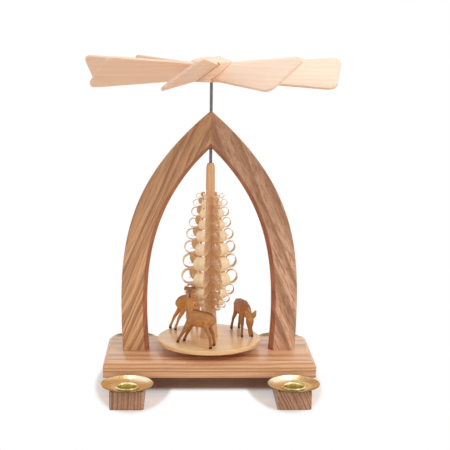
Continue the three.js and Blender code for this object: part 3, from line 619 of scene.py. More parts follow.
def buildStand():
    layers = chamferLayers(stand["plateSize"][2], stand["plateChamfer"], stand["ease"])
    plate = newPiece("ashPlate", boardFrom(
        stand["plateSize"], stand["plateBottom"], stand["plateCorner"], layers, (0, 0)))
    top = stand["plateBottom"] + stand["plateSize"][2]
    cutFrom(plate, [rodCutter(0, 0, stand["bearingHole"], top - stand["bearingDepth"], top + 3)])
    grainFrom(plate, (1, 0, 0), (0, 1, 0))
    plate.data.materials.append(plateAsh)
    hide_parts("base_plate")
    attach(plate, "stand")
    layers = roundedLayers(stand["barSize"][2], stand["barRound"])
    seats = [(stand["screwX"], -stand["screwY"]), (stand["screwX"], stand["screwY"]), (stand["legScrewX"], 0)]
    # rings stand nearly upright in the left bar's end and lean in the right one's
    for side, lean, name, node in ((-1, 0.02, "ashBarLeft", "foot_bar_left"),
                                   (1, 0.72, "ashBarRight", "foot_bar_right")):
        middle = side * stand["barX"]
        bar = newPiece(name, boardFrom(stand["barSize"], 0, stand["barCorner"], layers, (middle, 0)))
        cutFrom(bar, [rodCutter(middle, end * stand["holderY"], stand["cupHole"], stand["cupFloor"], 18)
                      for end in (-1, 1)]
                + [rodCutter(side * x, y, stand["screwHead"], -3, stand["screwSeat"], 32) for x, y in seats])
        grainFrom(bar, (0, 1, 0.02), (1, 0, lean), (0.16, -0.075, 0.4 * side))
        bar.data.materials.append(barAsh)
        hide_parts(node)
        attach(bar, "stand")


buildStand()
print("plate and foot bars are made")


# arch

arch = {
    "stations": 72, "thickness": 12, "innerBevel": 3.6, "bevelEase": (0.25, 0.45), "outerRound": 1.1,
    "outer": ((70.3, 27.7), (73.7, 107.61), (73.5, 160.23), (0, 222.6)),
    "opening": ((48.9, 27.7), (54, 90.28), (51, 145.56), (0, 193.7)),
    "grainLean": 67, "guideBore": 1.7, "bushBore": 2.8, "bushTop": 203.8, "boreLow": 180, "boreHigh": 230,
}


def bezier(points, share):
    rest = 1 - share
    weights = (rest ** 3, 3 * rest * rest * share, 3 * rest * share * share, share ** 3)
    return Vector((sum(weight * point[0] for weight, point in zip(weights, points)), 0,
                   sum(weight * point[1] for weight, point in zip(weights, points))))


def archSection(width):
    # from the opening out along the front face, and back along the rear one
    face, bevel, edge = arch["thickness"] / 2, arch["innerBevel"], arch["outerRound"]
    near, far = arch["bevelEase"]
    section = [(0, bevel - face), (near, bevel - far - face), (bevel - far, near - face), (bevel, -face)]
    section += arc((width - edge, edge - face), edge, -1, 0, 3)
    return section + [(across, -y) for across, y in reversed(section)]


def buildArch():
    lean = math.radians(arch["grainLean"])
    for side, back, finish, name, node in ((-1, 0.02, archAsh, "archLegLeft", "arch_leg_left"),
                                           (1, 0.13, archAshDark, "archLegRight", "arch_leg_right")):
        form = bmesh.new()
        rings = []
        for station in range(arch["stations"] + 1):
            share = station / arch["stations"]
            outer, inner = bezier(arch["outer"], share), bezier(arch["opening"], share)
            width = (outer - inner).length
            section = [(inner.lerp(outer, across / width), y) for across, y in archSection(width)]
            rings.append([vertexAt(form, side * point.x, y, point.z) for point, y in section])
        count = len(rings[0])
        for at, facet in enumerate(skinRings(form, rings)[:-2]):
            # the opening's edge and both its bevels are routed and take the darker reddish ash: a stain, with
            # painted shade
            facet.material_index = 1 if at % count < 3 or at % count > count - 5 else 0
        bmesh.ops.recalc_face_normals(form, faces=form.faces)
        leg = newPiece(name, form)
        leg.data.materials.append(finish)
        leg.data.materials.append(routedAshStainAndShade)
        cutFrom(leg, [rodCutter(0, 0, arch["guideBore"], arch["boreLow"], arch["boreHigh"]),
                      rodCutter(0, 0, arch["bushBore"], arch["boreLow"], arch["bushTop"])])
        upright, level = math.sin(lean), math.cos(lean)
        grainFrom(leg, (-side * level, back, upright), (side * upright, 0, level),
                  (0.004 * side - 0.03, 0, 0.13 * side))
        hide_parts(node)
        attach(leg, "stand")


buildArch()
print("arch is made")


# brass dishes and cups

holder = {
    "dishRadius": 20.2, "dishRise": 3.6, "sheet": 0.5, "seatRadius": 10.2, "holeRadius": 8.4, "seat": 15,
    "dishSteps": 14, "dishSweep": math.pi / 2.6,
    "cupBore": 7.3, "cupWall": 0.5, "cupFloor": 3, "cupEase": 0.5, "lipDepth": 0.7, "flangeBottom": 15.65,
    "flangeRadius": 9.6, "lipRise": 0.4, "rimHalf": 0.25, "lipHalf": 0.5, "lipShare": 0.6,
}


def dishProfile():
    low, sheet, rise, edge = holder["seat"], holder["sheet"], holder["dishRise"], holder["rimHalf"]
    start, sweep, steps = holder["seatRadius"], holder["dishSweep"], holder["dishSteps"]
    under = []
    for step in range(steps + 1):
        share = step / steps
        lift = (rise - sheet) * (1 - math.cos(share * sweep)) / (1 - math.cos(sweep))
        under.append((start + (holder["dishRadius"] - edge - start) * share, low + lift))
    over = [(radius, height + sheet) for radius, height in reversed(under)]
    rim = arc((holder["dishRadius"] - edge, low + rise - sheet / 2), edge, -2 / 3, 2 / 3, 4)
    return [(holder["holeRadius"], low)] + under + rim + over + [(holder["holeRadius"], low + sheet)]


def cupProfile():
    bore, wall, floor, ease = holder["cupBore"], holder["cupWall"], holder["cupFloor"], holder["cupEase"]
    outer, low, top = bore + wall, holder["flangeBottom"], holder["flangeBottom"] + wall
    half, lip = holder["rimHalf"], holder["lipHalf"]
    profile = [(0, floor), (outer - ease, floor), (outer, floor + ease), (outer, low)]
    profile += arc((holder["flangeRadius"] - half, low + half), half, -1, 1, 6)
    profile += arc((outer + lip * holder["lipShare"], top), lip, 0, 2, 8, holder["lipRise"])
    return profile + [(bore, top - holder["lipDepth"]), (bore, floor + wall + ease),
                      (bore - ease, floor + wall), (0, floor + wall)]


def buildHolders():
    for end, endName in ((-1, "front"), (1, "back")):
        for side, sideName in ((-1, "left"), (1, "right")):
            centre = (side * stand["barX"], end * stand["holderY"])
            label = endName.capitalize() + sideName.capitalize()
            dish = turned("brassDish" + label, dishProfile(), 96, centre)
            cup = turned("brassCup" + label, cupProfile(), 72, centre)
            for piece, node in ((dish, "candle_dish"), (cup, "candle_cup")):
                piece.data.materials.append(pressedBrass)
                piece.data.materials.append(boreShadeBrass)
                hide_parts(f"{node}_{endName}_{sideName}")
                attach(piece, "stand")
            for face in cup.data.polygons:
                # painted shade: the faces inside the bore take the darker brass
                x, y, z = face.center / mm
                aside = math.hypot(x - centre[0], y - centre[1])
                if aside < holder["cupBore"] + 0.1 and z > holder["cupFloor"] + 0.3:
                    face.material_index = 1


buildHolders()
print("candle holders are made")


# spindle and turntable

runner = {
    "discRadius": 42.2, "discThickness": 3.8, "discTop": 37.5, "discRound": 1.1, "bore": 1.28,
    "spindleRadius": 1.2, "spindleTip": 25.8, "spindleTipLength": 2.4, "spindleTop": 259.8,
}


def buildRunner():
    radius, edge, bore = runner["discRadius"], runner["discRound"], runner["bore"]
    top, low = runner["discTop"], runner["discTop"] - runner["discThickness"]
    profile = [(bore, low)] + arc((radius - edge, low + edge), edge, -1, 0, 6)
    profile += arc((radius - edge, top - edge), edge, 0, 1, 6) + [(bore, top)]
    disc = turned("mapleTurntable", profile, 144)
    grainFrom(disc, (1, 0.15, 0), (0, 1, 0), (0.012, 0, 0))
    disc.data.materials.append(discMaple)
    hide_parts("turntable")
    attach(disc, "spinner")
    rod, tip, crown = runner["spindleRadius"], runner["spindleTip"], runner["spindleTop"]
    shaft = turned("steelSpindle", [
        (0, tip), (0.25, tip + 0.15), (rod, tip + runner["spindleTipLength"]), (rod, crown - 0.2),
        (rod - 0.2, crown), (0, crown)], 32)
    shaft.data.materials.append(drawnSteel)
    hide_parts("spindle")
    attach(shaft, "spinner")


buildRunner()
print("spindle and turntable are made")


# helpers for geometry nodes

def namedValue(tree, name, kind="FLOAT"):
    return out(nodeIn(tree, "GeometryNodeInputNamedAttribute", {"Name": name}, data_type=kind), "Attribute")


def storeValue(geometry, name, value, kind="FLOAT"):
    return out(nodeIn(geometry.tree, "GeometryNodeStoreNamedAttribute", {
        "Geometry": geometry, "Name": name, "Value": value}, data_type=kind, domain="POINT"), "Geometry")


def chanceIn(tree, seed, kind="FLOAT_VECTOR"):
    return out(nodeIn(tree, "FunctionNodeRandomValue", {"Seed": seed}, data_type=kind), "Value")


def setOut(points, shape, **settings):
    # the shape is set on every point
    placed = nodeIn(points.tree, "GeometryNodeInstanceOnPoints", {
        "Points": points, "Instance": shape, **settings})
    return out(nodeIn(points.tree, "GeometryNodeRealizeInstances", {"Geometry": out(placed)}))


def geometryGroup(name, inputs):
    return newGroup(name, "GeometryNodeTree", {
        "Geometry": "Geometry", **inputs, "Material": "Material"}, {"Geometry": "Geometry"})


def finishNodes(made, geometry, material):
    done = nodeIn(geometry.tree, "GeometryNodeSetMaterial", {"Geometry": geometry, "Material": material})
    feed(made, {"Geometry": out(done)})


def runNodes(piece, group, values, smoothAngle=40):
    step = piece.modifiers.new("shape", "NODES")
    step.node_group = group
    for socket in group.interface.items_tree:
        if socket.name in values:
            step[socket.identifier] = values[socket.name]
    settle(piece, smoothAngle)


# shaved tree: one turned stem and, by geometry nodes, the shavings that stay rooted in it

lime = {
    "bottom": 37.5, "height": 143.8, "reach": 23.1, "footRadius": 7.3, "waistRadius": 5.4, "topRadius": 3.4,
    "waistShare": 0.17, "shoulderShare": 0.965,
    # the flats under the curls run over these shares of the height and run out over so many mm
    "shavedShares": (0.165, 0.86), "shavedEnds": (6, 5), "shavedDepth": 0.17,
    "stemLevels": 90, "stemSides": 72, "columns": 6, "firstAngle": 5, "seed": 11,
    "heights": (0.815, 0.776, 0.724, 0.664, 0.599, 0.526, 0.445, 0.357, 0.279, 0.223, 0.184),
    "reaches": (0.5, 0.61, 0.67, 0.745, 0.835, 0.905, 0.96, 1, 0.89, 0.735, 0.59),
    "rings": (2.3, 3.2, 4.1, 4.35, 4.95, 5.45, 6.15, 6.4, 4.7, 3.25, 2.25),
}
curl = {
    "width": 1.52, "topWidth": 0.8, "slimTiers": 5, "thickness": 0.27, "turns": 1.3, "topTurns": 1.5,
    "topTiers": 3.5, "rollShare": 0.14, "rollStart": 0.56, "steps": 58, "stepsAcross": 5,
    # spreads are (least, range of chance); shapes follow the turns swept; lengths from here on are in m
    "ringSpread": (0.965, 0.035), "turnsSpread": (0.9, 0.22), "widthSpread": (0.88, 0.2),
    "heightSpread": 0.0004,
    "leadShare": 0.12, "leadRise": 0.7, "rootDepth": 0.0009, "openings": 4.0, "openPower": 1.2,
    "hollow": 0.07, "hollowings": 3.0, "middleGap": 0.0003, "roomShare": 0.985,
    "narrowTurns": (0.58, 1.02), "narrowWidths": (1.0, 0.24), "bellyTurns": (0.2, 0.46),
    "bellyWidths": (0.76, 1.0), "tipThinning": 0.45, "grainAside": 0.05, "grainLength": 0.03,
    "weld": 0.000004,
}


def clamped(value):
    return max(0.0, min(1.0, value))


def stemRadius(height):
    waist = lime["bottom"] + lime["height"] * lime["waistShare"]
    shoulder = lime["bottom"] + lime["height"] * lime["shoulderShare"]
    if height < waist:
        share = (height - lime["bottom"]) / (waist - lime["bottom"])
        return lime["footRadius"] + (lime["waistRadius"] - lime["footRadius"]) * share
    share = min((height - waist) / (shoulder - waist), 1)
    return lime["waistRadius"] + (lime["topRadius"] - lime["waistRadius"]) * share


def curlTiers():
    # height, reach, ring, stem, turns and width of each tier, from the top one down
    tiers = []
    for at, (share, reach, ring) in enumerate(zip(lime["heights"], lime["reaches"], lime["rings"])):
        height = lime["bottom"] + lime["height"] * share
        turns = curl["turns"] + (curl["topTurns"] - curl["turns"]) * max(0, 1 - at / curl["topTiers"])
        slim = curl["topWidth"] + (1 - curl["topWidth"]) * min(1, at / curl["slimTiers"])
        tiers.append((height * mm, lime["reach"] * reach * mm, (ring - curl["thickness"] / 2) * mm,
                      stemRadius(height) * mm, turns, curl["width"] * slim))
    return tiers


def buildStem():
    bottom, height, tip, sides = lime["bottom"], lime["height"], lime["topRadius"] / 2, lime["stemSides"]
    shoulder = bottom + height * lime["shoulderShare"]
    low, high = [bottom + height * share for share in lime["shavedShares"]]
    lowEnd, highEnd = lime["shavedEnds"]
    levels = [bottom + (shoulder - bottom) * at / lime["stemLevels"] for at in range(lime["stemLevels"] + 1)]
    sections = [(stemRadius(level), level) for level in levels]
    sections += arc((tip, shoulder), tip, 1 / 6, 5 / 6, 4, bottom + height - shoulder)
    form = bmesh.new()
    rings = []
    for radius, level in sections:
        # the knife took a flat off the stem over each column of curls
        shaved = clamped((level - low) / lowEnd) * clamped((high - level) / highEnd) * lime["shavedDepth"]
        ring = []
        for at in range(sides):
            angle = at * turn / sides
            around = (angle - math.radians(lime["firstAngle"])) * lime["columns"]
            left = radius * (1 - (0.5 + 0.5 * math.cos(around)) * shaved)
            ring.append(vertexAt(form, math.cos(angle) * left, math.sin(angle) * left, level))
        rings.append(ring)
    skinRings(form, rings)
    return newPiece("treeStem", form, 50)


def buildCurlNodes():
    group, given, made = geometryGroup("shavedCurls", {
        "Columns": "Int", "First Angle": "Float", "Curl Thickness": "Float", "Roll Share": "Float",
        "Roll Start": "Float", "Steps": "Int", "Seed": "Int"})
    copies = nodeIn(group, "GeometryNodeDuplicateElements", {
        "Geometry": given["Geometry"], "Amount": given["Columns"]}, domain="POINT")
    columnAngle = turn / given["Columns"]
    angle = out(copies, "Duplicate Index") * columnAngle + given["First Angle"]
    points = storeValue(out(copies, "Geometry"), "turnAngle", angle)
    points = storeValue(points, "chance", chanceIn(group, given["Seed"]), "FLOAT_VECTOR")
    strip = nodeIn(group, "GeometryNodeMeshGrid", {
        "Size X": 1.0, "Size Y": 1.0, "Vertices X": given["Steps"], "Vertices Y": curl["stepsAcross"]})
    strip = storeValue(out(strip, "Mesh"), "stripPlace", out(strip, "UV Map"), "FLOAT_VECTOR")
    strips = setOut(points, strip)

    along, aside, _ = splitUp(namedValue(group, "stripPlace", "FLOAT_VECTOR"))
    across = aside * 2.0 - 1.0
    luck, turnLuck, heightLuck = splitUp(namedValue(group, "chance", "FLOAT_VECTOR"))

    def spread(name, chance):
        least, extra = curl[name]
        return chance * extra + least

    ring = namedValue(group, "tierRing") * spread("ringSpread", luck)
    turns = namedValue(group, "tierTurns") * spread("turnsSpread", turnLuck)
    centre = namedValue(group, "tierReach") - (ring + given["Curl Thickness"] * 0.5)
    rootReach = centre - namedValue(group, "tierStem") + curl["rootDepth"]
    # the first eighth runs down out of the stem, the rest goes round the ring and into the roll
    lead = greater((curl["leadShare"] - along) / curl["leadShare"], 0.0)
    share = greater((along - curl["leadShare"]) / (1 - curl["leadShare"]), 0.0)
    swept = share * turns
    theta = swept * turn + math.pi
    opening = calc(group, "POWER", greater(1.0 - swept * curl["openings"], 0.0), curl["openPower"])
    closing = greater(share - given["Roll Start"], 0.0) / (1.0 - given["Roll Start"])
    radius = ring * (1.0 - closing * (1.0 - given["Roll Share"]))
    # its edges turn in a little, as thin shavings do
    radius = radius * (1.0 - across * across * (lesser(swept * curl["hollowings"], 1.0) * curl["hollow"]))
    wide = (rootReach - radius) * opening + radius
    outward = calc(group, "COSINE", theta) * wide + centre - lead * curl["rootDepth"]
    upward = calc(group, "SINE", theta) * radius + namedValue(group, "tierHeight")
    upward = upward + lead * (ring * curl["leadRise"]) + (heightLuck - 0.5) * curl["heightSpread"]
    # the shaving fills its share of the stem at the root, and narrows from its outer side to its tip
    room = (outward - curl["middleGap"]) * (calc(group, "TANGENT", columnAngle / 2.0) * curl["roomShare"])
    half = ring * (namedValue(group, "tierWidth") * 0.5)
    half = half * rangeStep(swept, *curl["narrowTurns"], *curl["narrowWidths"])
    half = half * spread("widthSpread", heightLuck)
    half = lesser(half * rangeStep(swept, *curl["bellyTurns"], *curl["bellyWidths"]), room)
    side = across * half
    spun = nodeIn(group, "ShaderNodeVectorRotate", {
        "Vector": joined(group, x=outward, y=side, z=upward), "Angle": namedValue(group, "turnAngle")},
        rotation_type="Z_AXIS")
    shaped = out(nodeIn(group, "GeometryNodeSetPosition", {"Geometry": strips, "Position": out(spun)}))
    grain = joined(group, x=side, y=luck * curl["grainAside"], z=along * curl["grainLength"])
    shaped = storeValue(shaped, "grainPlace", grain, "FLOAT_VECTOR")
    thin = given["Curl Thickness"] * (1.0 - along * curl["tipThinning"])
    raised = nodeIn(group, "GeometryNodeExtrudeMesh", {
        "Mesh": shaped, "Offset Scale": thin, "Individual": False}, mode="FACES")
    both = nodeIn(group, "GeometryNodeJoinGeometry", {"Geometry": out(raised, "Mesh")})
    feed(both, {"Geometry": out(nodeIn(group, "GeometryNodeFlipFaces", {"Mesh": shaped}))})
    welded = nodeIn(group, "GeometryNodeMergeByDistance", {"Geometry": out(both), "Distance": curl["weld"]})
    finishNodes(made, out(welded), given["Material"])
    return group


def buildTree():
    tiers = curlTiers()
    form = bmesh.new()
    for _ in tiers:
        form.verts.new((0, 0, 0))
    curls = newPiece("limeCurls", form)
    for at, name in enumerate(("tierHeight", "tierReach", "tierRing", "tierStem", "tierTurns", "tierWidth")):
        layer = curls.data.attributes.new(name, "FLOAT", "POINT")
        layer.data.foreach_set("value", [tier[at] for tier in tiers])
    runNodes(curls, buildCurlNodes(), {
        "Columns": lime["columns"], "First Angle": math.radians(lime["firstAngle"]),
        "Curl Thickness": curl["thickness"] * mm, "Roll Share": curl["rollShare"],
        "Roll Start": curl["rollStart"], "Steps": curl["steps"], "Seed": lime["seed"],
        "Material": shavedLime})
    stem = buildStem()
    grainFrom(stem, (0, 0, 1), (1, 0, 0))
    stem.data.materials.append(turnedLime)
    for piece in (curls, stem):
        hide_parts("curl_tree")
        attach(piece, "spinner")
    print("tree has", len(curls.data.polygons), "curl faces")


buildTree()
print("shaved tree is made")


# rotor

rotor = {
    "height": 253.4, "radius": 100.7, "count": 8, "firstAngle": -14, "pitch": 36.4, "tipWidth": 39.44,
    "rootWidth": 21.6, "thickness": 2, "corner": 8.5, "edge": 0.4, "hubRadius": 17.4, "hubHeight": 15.8,
    "hubRound": 0.9, "hubShoulder": 259.6, "hubCrown": 265.0, "hubCore": 9.6, "slotWidth": 22.6,
    "slotRoom": 0.4, "slotDeeper": 0.3, "boreRoom": 0.3, "seed": 3, "cornerSteps": 8,
    "plankSpread": (0.05, 0.04),
}


def buildBladeNodes():
    group, given, made = geometryGroup("bladeRing", {
        "Count": "Int", "First Angle": "Float", "Pitch": "Float", "Height": "Float", "Seed": "Int"})
    where = out(nodeIn(group, "GeometryNodeInputPosition"))
    blade = storeValue(given["Geometry"], "bladePlace", where, "FLOAT_VECTOR")
    pitched = nodeIn(group, "GeometryNodeTransform", {
        "Geometry": blade, "Rotation": joined(group, x=given["Pitch"])})
    spots = nodeIn(group, "GeometryNodePoints", {
        "Count": given["Count"], "Position": joined(group, z=given["Height"])})
    points = storeValue(out(spots), "plankPlace", chanceIn(group, given["Seed"]), "FLOAT_VECTOR")
    angle = out(nodeIn(group, "GeometryNodeInputIndex")) * (turn / given["Count"])
    blades = setOut(points, out(pitched), Rotation=joined(group, z=angle + given["First Angle"]))
    # each blade is cut from another spot of the plank
    along, across, through = splitUp(namedValue(group, "bladePlace", "FLOAT_VECTOR"))
    x, y, z = splitUp(namedValue(group, "plankPlace", "FLOAT_VECTOR"))
    wide, deep = rotor["plankSpread"]
    grain = joined(group, x=across + x * wide, y=through + y * deep, z=along + z)
    finishNodes(made, storeValue(blades, "grainPlace", grain, "FLOAT_VECTOR"), given["Material"])
    return group


def bladeOutline():
    tip, corner = rotor["radius"], rotor["corner"]
    halfRoot, halfTip = rotor["rootWidth"] / 2, rotor["tipWidth"] / 2
    sideEnd = halfTip - (halfTip - halfRoot) / (tip - rotor["hubRadius"]) * corner
    points = [(rotor["hubCore"], -halfRoot), (rotor["hubRadius"], -halfRoot)]
    for at in range(rotor["cornerSteps"] + 1):
        share = at / rotor["cornerSteps"]
        first, middle, last = (1 - share) ** 2, 2 * (1 - share) * share, share ** 2
        points.append((first * (tip - corner) + middle * tip + last * tip,
                       -(first * sideEnd + middle * halfTip + last * (halfTip - corner))))
    return points + [(x, -y) for x, y in reversed(points)]


def buildBlades():
    form = bmesh.new()
    half = rotor["thickness"] / 2
    skinRings(form, [[vertexAt(form, x, y, z) for x, y in bladeOutline()] for z in (-half, half)])
    blades = newPiece("mapleBlades", form)
    ease = blades.modifiers.new("ease", "BEVEL")
    ease.width = rotor["edge"] * mm
    ease.segments = 3
    ease.limit_method = "ANGLE"
    ease.angle_limit = math.radians(50)
    settle(blades)
    runNodes(blades, buildBladeNodes(), {
        "Count": rotor["count"], "First Angle": math.radians(rotor["firstAngle"]),
        "Pitch": math.radians(rotor["pitch"]), "Height": rotor["height"] * mm, "Seed": rotor["seed"],
        "Material": rotorMaple}, 32)
    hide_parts(*[f"rotor_blade_{at + 1}" for at in range(rotor["count"])])
    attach(blades, "spinner")


def slotCutter(angle):
    slot = bmesh.new()
    spin = Matrix.Rotation(angle, 4, "Z") @ Matrix.Rotation(math.radians(rotor["pitch"]), 4, "X")
    middle = Vector((rotor["hubCore"] - rotor["slotDeeper"] + rotor["hubRadius"] / 2, 0, 0)) * mm
    size = Vector((rotor["hubRadius"], rotor["slotWidth"], rotor["thickness"] + rotor["slotRoom"])) * mm
    bmesh.ops.create_cube(slot, size=1, matrix=Matrix.Translation((0, 0, rotor["height"] * mm)) @ spin
                          @ Matrix.Translation(middle) @ Matrix.Diagonal(size).to_4x4())
    return newPiece("slot", slot)


def buildHub():
    low, high = rotor["height"] - rotor["hubHeight"] / 2, rotor["hubShoulder"]
    radius, edge, crown = rotor["hubRadius"], rotor["hubRound"], rotor["hubCrown"]
    profile = [(0, low)] + arc((radius - edge, low + edge), edge, -1, 0, 4)
    profile += arc((0, high), radius, 0, 17 / 18, 17, crown - high) + [(0, crown)]
    hub = turned("mapleHub", profile, 96)
    cutters = [rodCutter(0, 0, runner["bore"], low - 3, runner["spindleTop"] + rotor["boreRoom"], 32)]
    cutters += [slotCutter(math.radians(rotor["firstAngle"]) + at * turn / rotor["count"])
                for at in range(rotor["count"])]
    cutFrom(hub, cutters)
    grainFrom(hub, (1, 0.3, 0), (0, 1, 0), (0.02, 0.03, 0))
    hub.data.materials.append(rotorMaple)
    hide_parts("rotor_hub")
    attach(hub, "spinner")


buildBlades()
buildHub()
print("rotor is made")


# carved deer: rough forms in mesh code, drawn together into one skin and eased like whittled wood

deer = {
    "height": 28.4, "stand": 37.8, "tableRadius": 42.2, "grainSize": 0.38, "legRadius": 1.15,
    "hoofRadius": 1.35, "hoofHeight": 1.9,
    # forward, up, half depth and half width, all in shares of the height at the withers
    "body": ((-0.48, 0.73, 0.04, 0.04), (-0.43, 0.742, 0.125, 0.095), (-0.34, 0.755, 0.2, 0.14),
             (-0.22, 0.757, 0.235, 0.158), (-0.07, 0.757, 0.245, 0.162), (0.1, 0.76, 0.252, 0.164),
             (0.25, 0.775, 0.245, 0.158), (0.36, 0.8, 0.195, 0.13), (0.43, 0.82, 0.11, 0.085),
             (0.47, 0.825, 0.03, 0.03)),
    "neckStart": (0.27, 0, 0.8), "neckRadius": (0.165, 0.13, 0.1, 0.088), "neckSlimness": 0.8,
    "headRadius": (0.07, 0.125, 0.135, 0.1, 0.068, 0.054, 0.03), "headSlimness": 0.84,
    "headLength": 0.53, "headReach": (-0.14, 1.04), "headSink": 0.012,
    # ears by their share of the length, with the share of their width there
    "earLength": 0.27, "earWidth": 0.09, "earRise": 0.7, "earAside": 0.6, "earThinness": 0.4,
    "ear": ((-0.1, 0.6), (0.16, 0.95), (0.4, 1), (0.7, 0.62), (1, 0.12)),
    "tailStart": (-0.425, 0, 0.86), "tail": ((0.03, 0, 0.05), (-0.03, -0.02, 0.042), (-0.065, -0.08, 0.03),
                                             (-0.07, -0.13, 0.012)),
    "hips": ((0.28, 0.1, 0.7), (0.28, -0.1, 0.7), (-0.22, 0.09, 0.7), (-0.22, -0.09, 0.7)),
    # fore and hind legs; half width and half depth down a leg are shares of its radius
    "kneeShare": (0.53, 0.5), "kneeLean": (0.02, -0.045), "stifleShift": (-0.005, 0.035), "girth": (
        ((1.8, 2.3), (1.9, 2.6), (1.5, 2.05), (1.15, 1.4), (0.88, 0.98), (1.02, 1.05)),
        ((1.8, 2.3), (1.9, 2.6), (1.4, 1.95), (1.08, 1.3), (0.88, 0.95), (1.05, 1.1))),
    "rootShift": (0.01, 0, 0.05), "ankleRise": 0.6, "toeReach": 0.25, "hoofTop": 0.7, "hoofSlimness": 0.85,
    "hoofFlare": 1.1,
}
deerPoses = {
    "deer_front": {
        "place": (-0.178, -0.616), "heading": 147, "look": (-0.52, 0.82, -0.02), "ears": (0.34, 0.06, -0.94),
        "feet": ((0.68, 0.1), (0.6, -0.11), (-0.44, 0.15), (-0.36, -0.16)),
        "neck": ((0.37, 0, 1.02), (0.38, -0.01, 1.23), (0.36, 0, 1.5))},
    "deer_left": {
        "place": (-0.392, 0.757), "heading": 40, "look": (0.93, 0.1, -0.3), "ears": (0.3, 0.15, -0.94),
        "feet": ((0.18, 0.1), (0.19, -0.15), (-0.59, 0.15), (-0.6, -0.1)),
        "neck": ((0.27, 0, 0.95), (0.23, 0, 1.06), (0.22, 0, 1.16))},
    "deer_right": {
        "place": (0.652, 0.296), "heading": -72, "look": (0.13, -0.03, -0.98), "ears": (0.42, 0.25, -0.87),
        "feet": ((0.5, 0.13), (0.46, -0.17), (-0.48, 0.1), (-0.49, -0.13)),
        "neck": ((0.44, 0, 0.81), (0.54, 0.01, 0.71), (0.59, 0.02, 0.59))},
}
coat = {
    "noseReach": 1.02, "noseRadius": 0.048, "eyeReach": 0.36, "eyeAside": 0.078, "eyeRise": 0.02,
    "eyeRadius": 0.034, "earTipRadius": 0.07, "earTipShare": 0.4, "softness": 0.35,
    # marks by their start and growth, of the way that a spot faces or of its level over the hooves
    "backFacing": (0.45, 0.4), "backLevel": (0.84, 0.06), "legLevel": (0.62, -0.45),
    "hoofLevel": (0.078, -0.02),
    "figure": {"Ring Width": 0.0016, "Pith Across": 0.006, "Pith Through": 0.012, "Wander": 0.0006,
               "Wander Size": 60.0, "Fibre Size": 0.0004},
    "cloudSize": 260, "patchSize": 210, "patchEdge": (0.4, 0.62), "patches": ((216, 148, 72), (186, 132, 92)),
    # each stain by its greatest share and its colour, in the order in which they go on; lift is painted
    # light, a paler tone for a deer turned away from the key lamp
    "stainsAndPaintedLight": {"cloud": (0.5, (166, 104, 52)), "late": (0.3, (140, 86, 42)), "legs": (0.55, (130, 76, 36)),
               "lift": (1, (250, 190, 110)), "back": (0.7, (96, 64, 44)), "black": (1, (86, 46, 18))},
    "roughness": 0.5, "smudge": (400, 0.2), "bump": 0.4, "bumpDepth": 0.0003,
}


def between(values, share):
    # a smooth curve through tuples of numbers
    spans = len(values) - 1
    at = min(int(share * spans), spans - 1)
    rest = share * spans - at
    before, first = values[max(at - 1, 0)], values[at]
    second, after = values[at + 1], values[min(at + 2, spans)]
    return tuple(0.5 * (2 * b + (c - a) * rest + (2 * a - 5 * b + 4 * c - d) * rest ** 2
                        + (3 * b - a - 3 * c + d) * rest ** 3)
                 for a, b, c, d in zip(before, first, second, after))


def addLimb(form, stations, side, corners=14, substeps=4):
    # stations are (point, half width along side, half depth)
    flat = [(*point, wide, deep) for point, wide, deep in stations]
    count = (len(flat) - 1) * substeps
    curve = [between(flat, at / count) for at in range(count + 1)]
    side = Vector(side)
    rings = []
    for at, (x, y, z, wide, deep) in enumerate(curve):
        along = (Vector(curve[min(at + 1, count)][:3]) - Vector(curve[max(at - 1, 0)][:3])).normalized()
        across = (side - along * along.dot(side)).normalized()
        upward = along.cross(across)
        ring = []
        for step in range(corners):
            angle = (step + 0.5) * turn / corners
            ring.append(form.verts.new(Vector((x, y, z)) + across * math.cos(angle) * max(wide, 0.02)
                                       + upward * math.sin(angle) * max(deep, 0.02)))
        rings.append(ring)
    bmesh.ops.recalc_face_normals(form, faces=skinRings(form, rings))


def deerHead(pose):
    # where the head sits, as poll, look, across and crown directions
    look = Vector(pose["look"]).normalized()
    across = Vector((0, 0, 1)).cross(look).normalized()
    return Vector(pose["neck"][-1]) * deer["height"], look, across, look.cross(across)


def earWay(pose, side):
    _, look, across, crown = deerHead(pose)
    outward, upward, forward = pose["ears"]
    return (across * side * outward + crown * upward + look * forward).normalized()


def addLeg(form, hip, foot, hind):
    # hind is 1 for a hind leg and 0 for a fore leg
    height, radius, hoof = deer["height"], deer["legRadius"], deer["hoofRadius"]
    top, sole = Vector(hip) * height, Vector((*foot, 0)) * height
    knee = top.lerp(sole, deer["kneeShare"][hind]) + Vector((deer["kneeLean"][hind] * height, 0, 0))
    stifle = top.lerp(knee, 0.5) + Vector((deer["stifleShift"][hind] * height, 0, 0))
    ankle = sole + Vector((0, 0, deer["hoofHeight"])) + (knee - sole).normalized() * deer["ankleRise"]
    toe = sole + Vector((deer["toeReach"], 0, 0))
    root = top + Vector(deer["rootShift"]) * height
    points = (root, top, stifle, knee, knee.lerp(ankle, 0.5), ankle)
    stations = [(point, wide * radius, deep * radius)
                for point, (wide, deep) in zip(points, deer["girth"][hind])]
    slim = hoof * deer["hoofSlimness"]
    stations += [(toe + Vector((0, 0, deer["hoofTop"])), slim, hoof), (toe, slim, hoof * deer["hoofFlare"])]
    addLimb(form, stations, (0, 1, 0), 12)


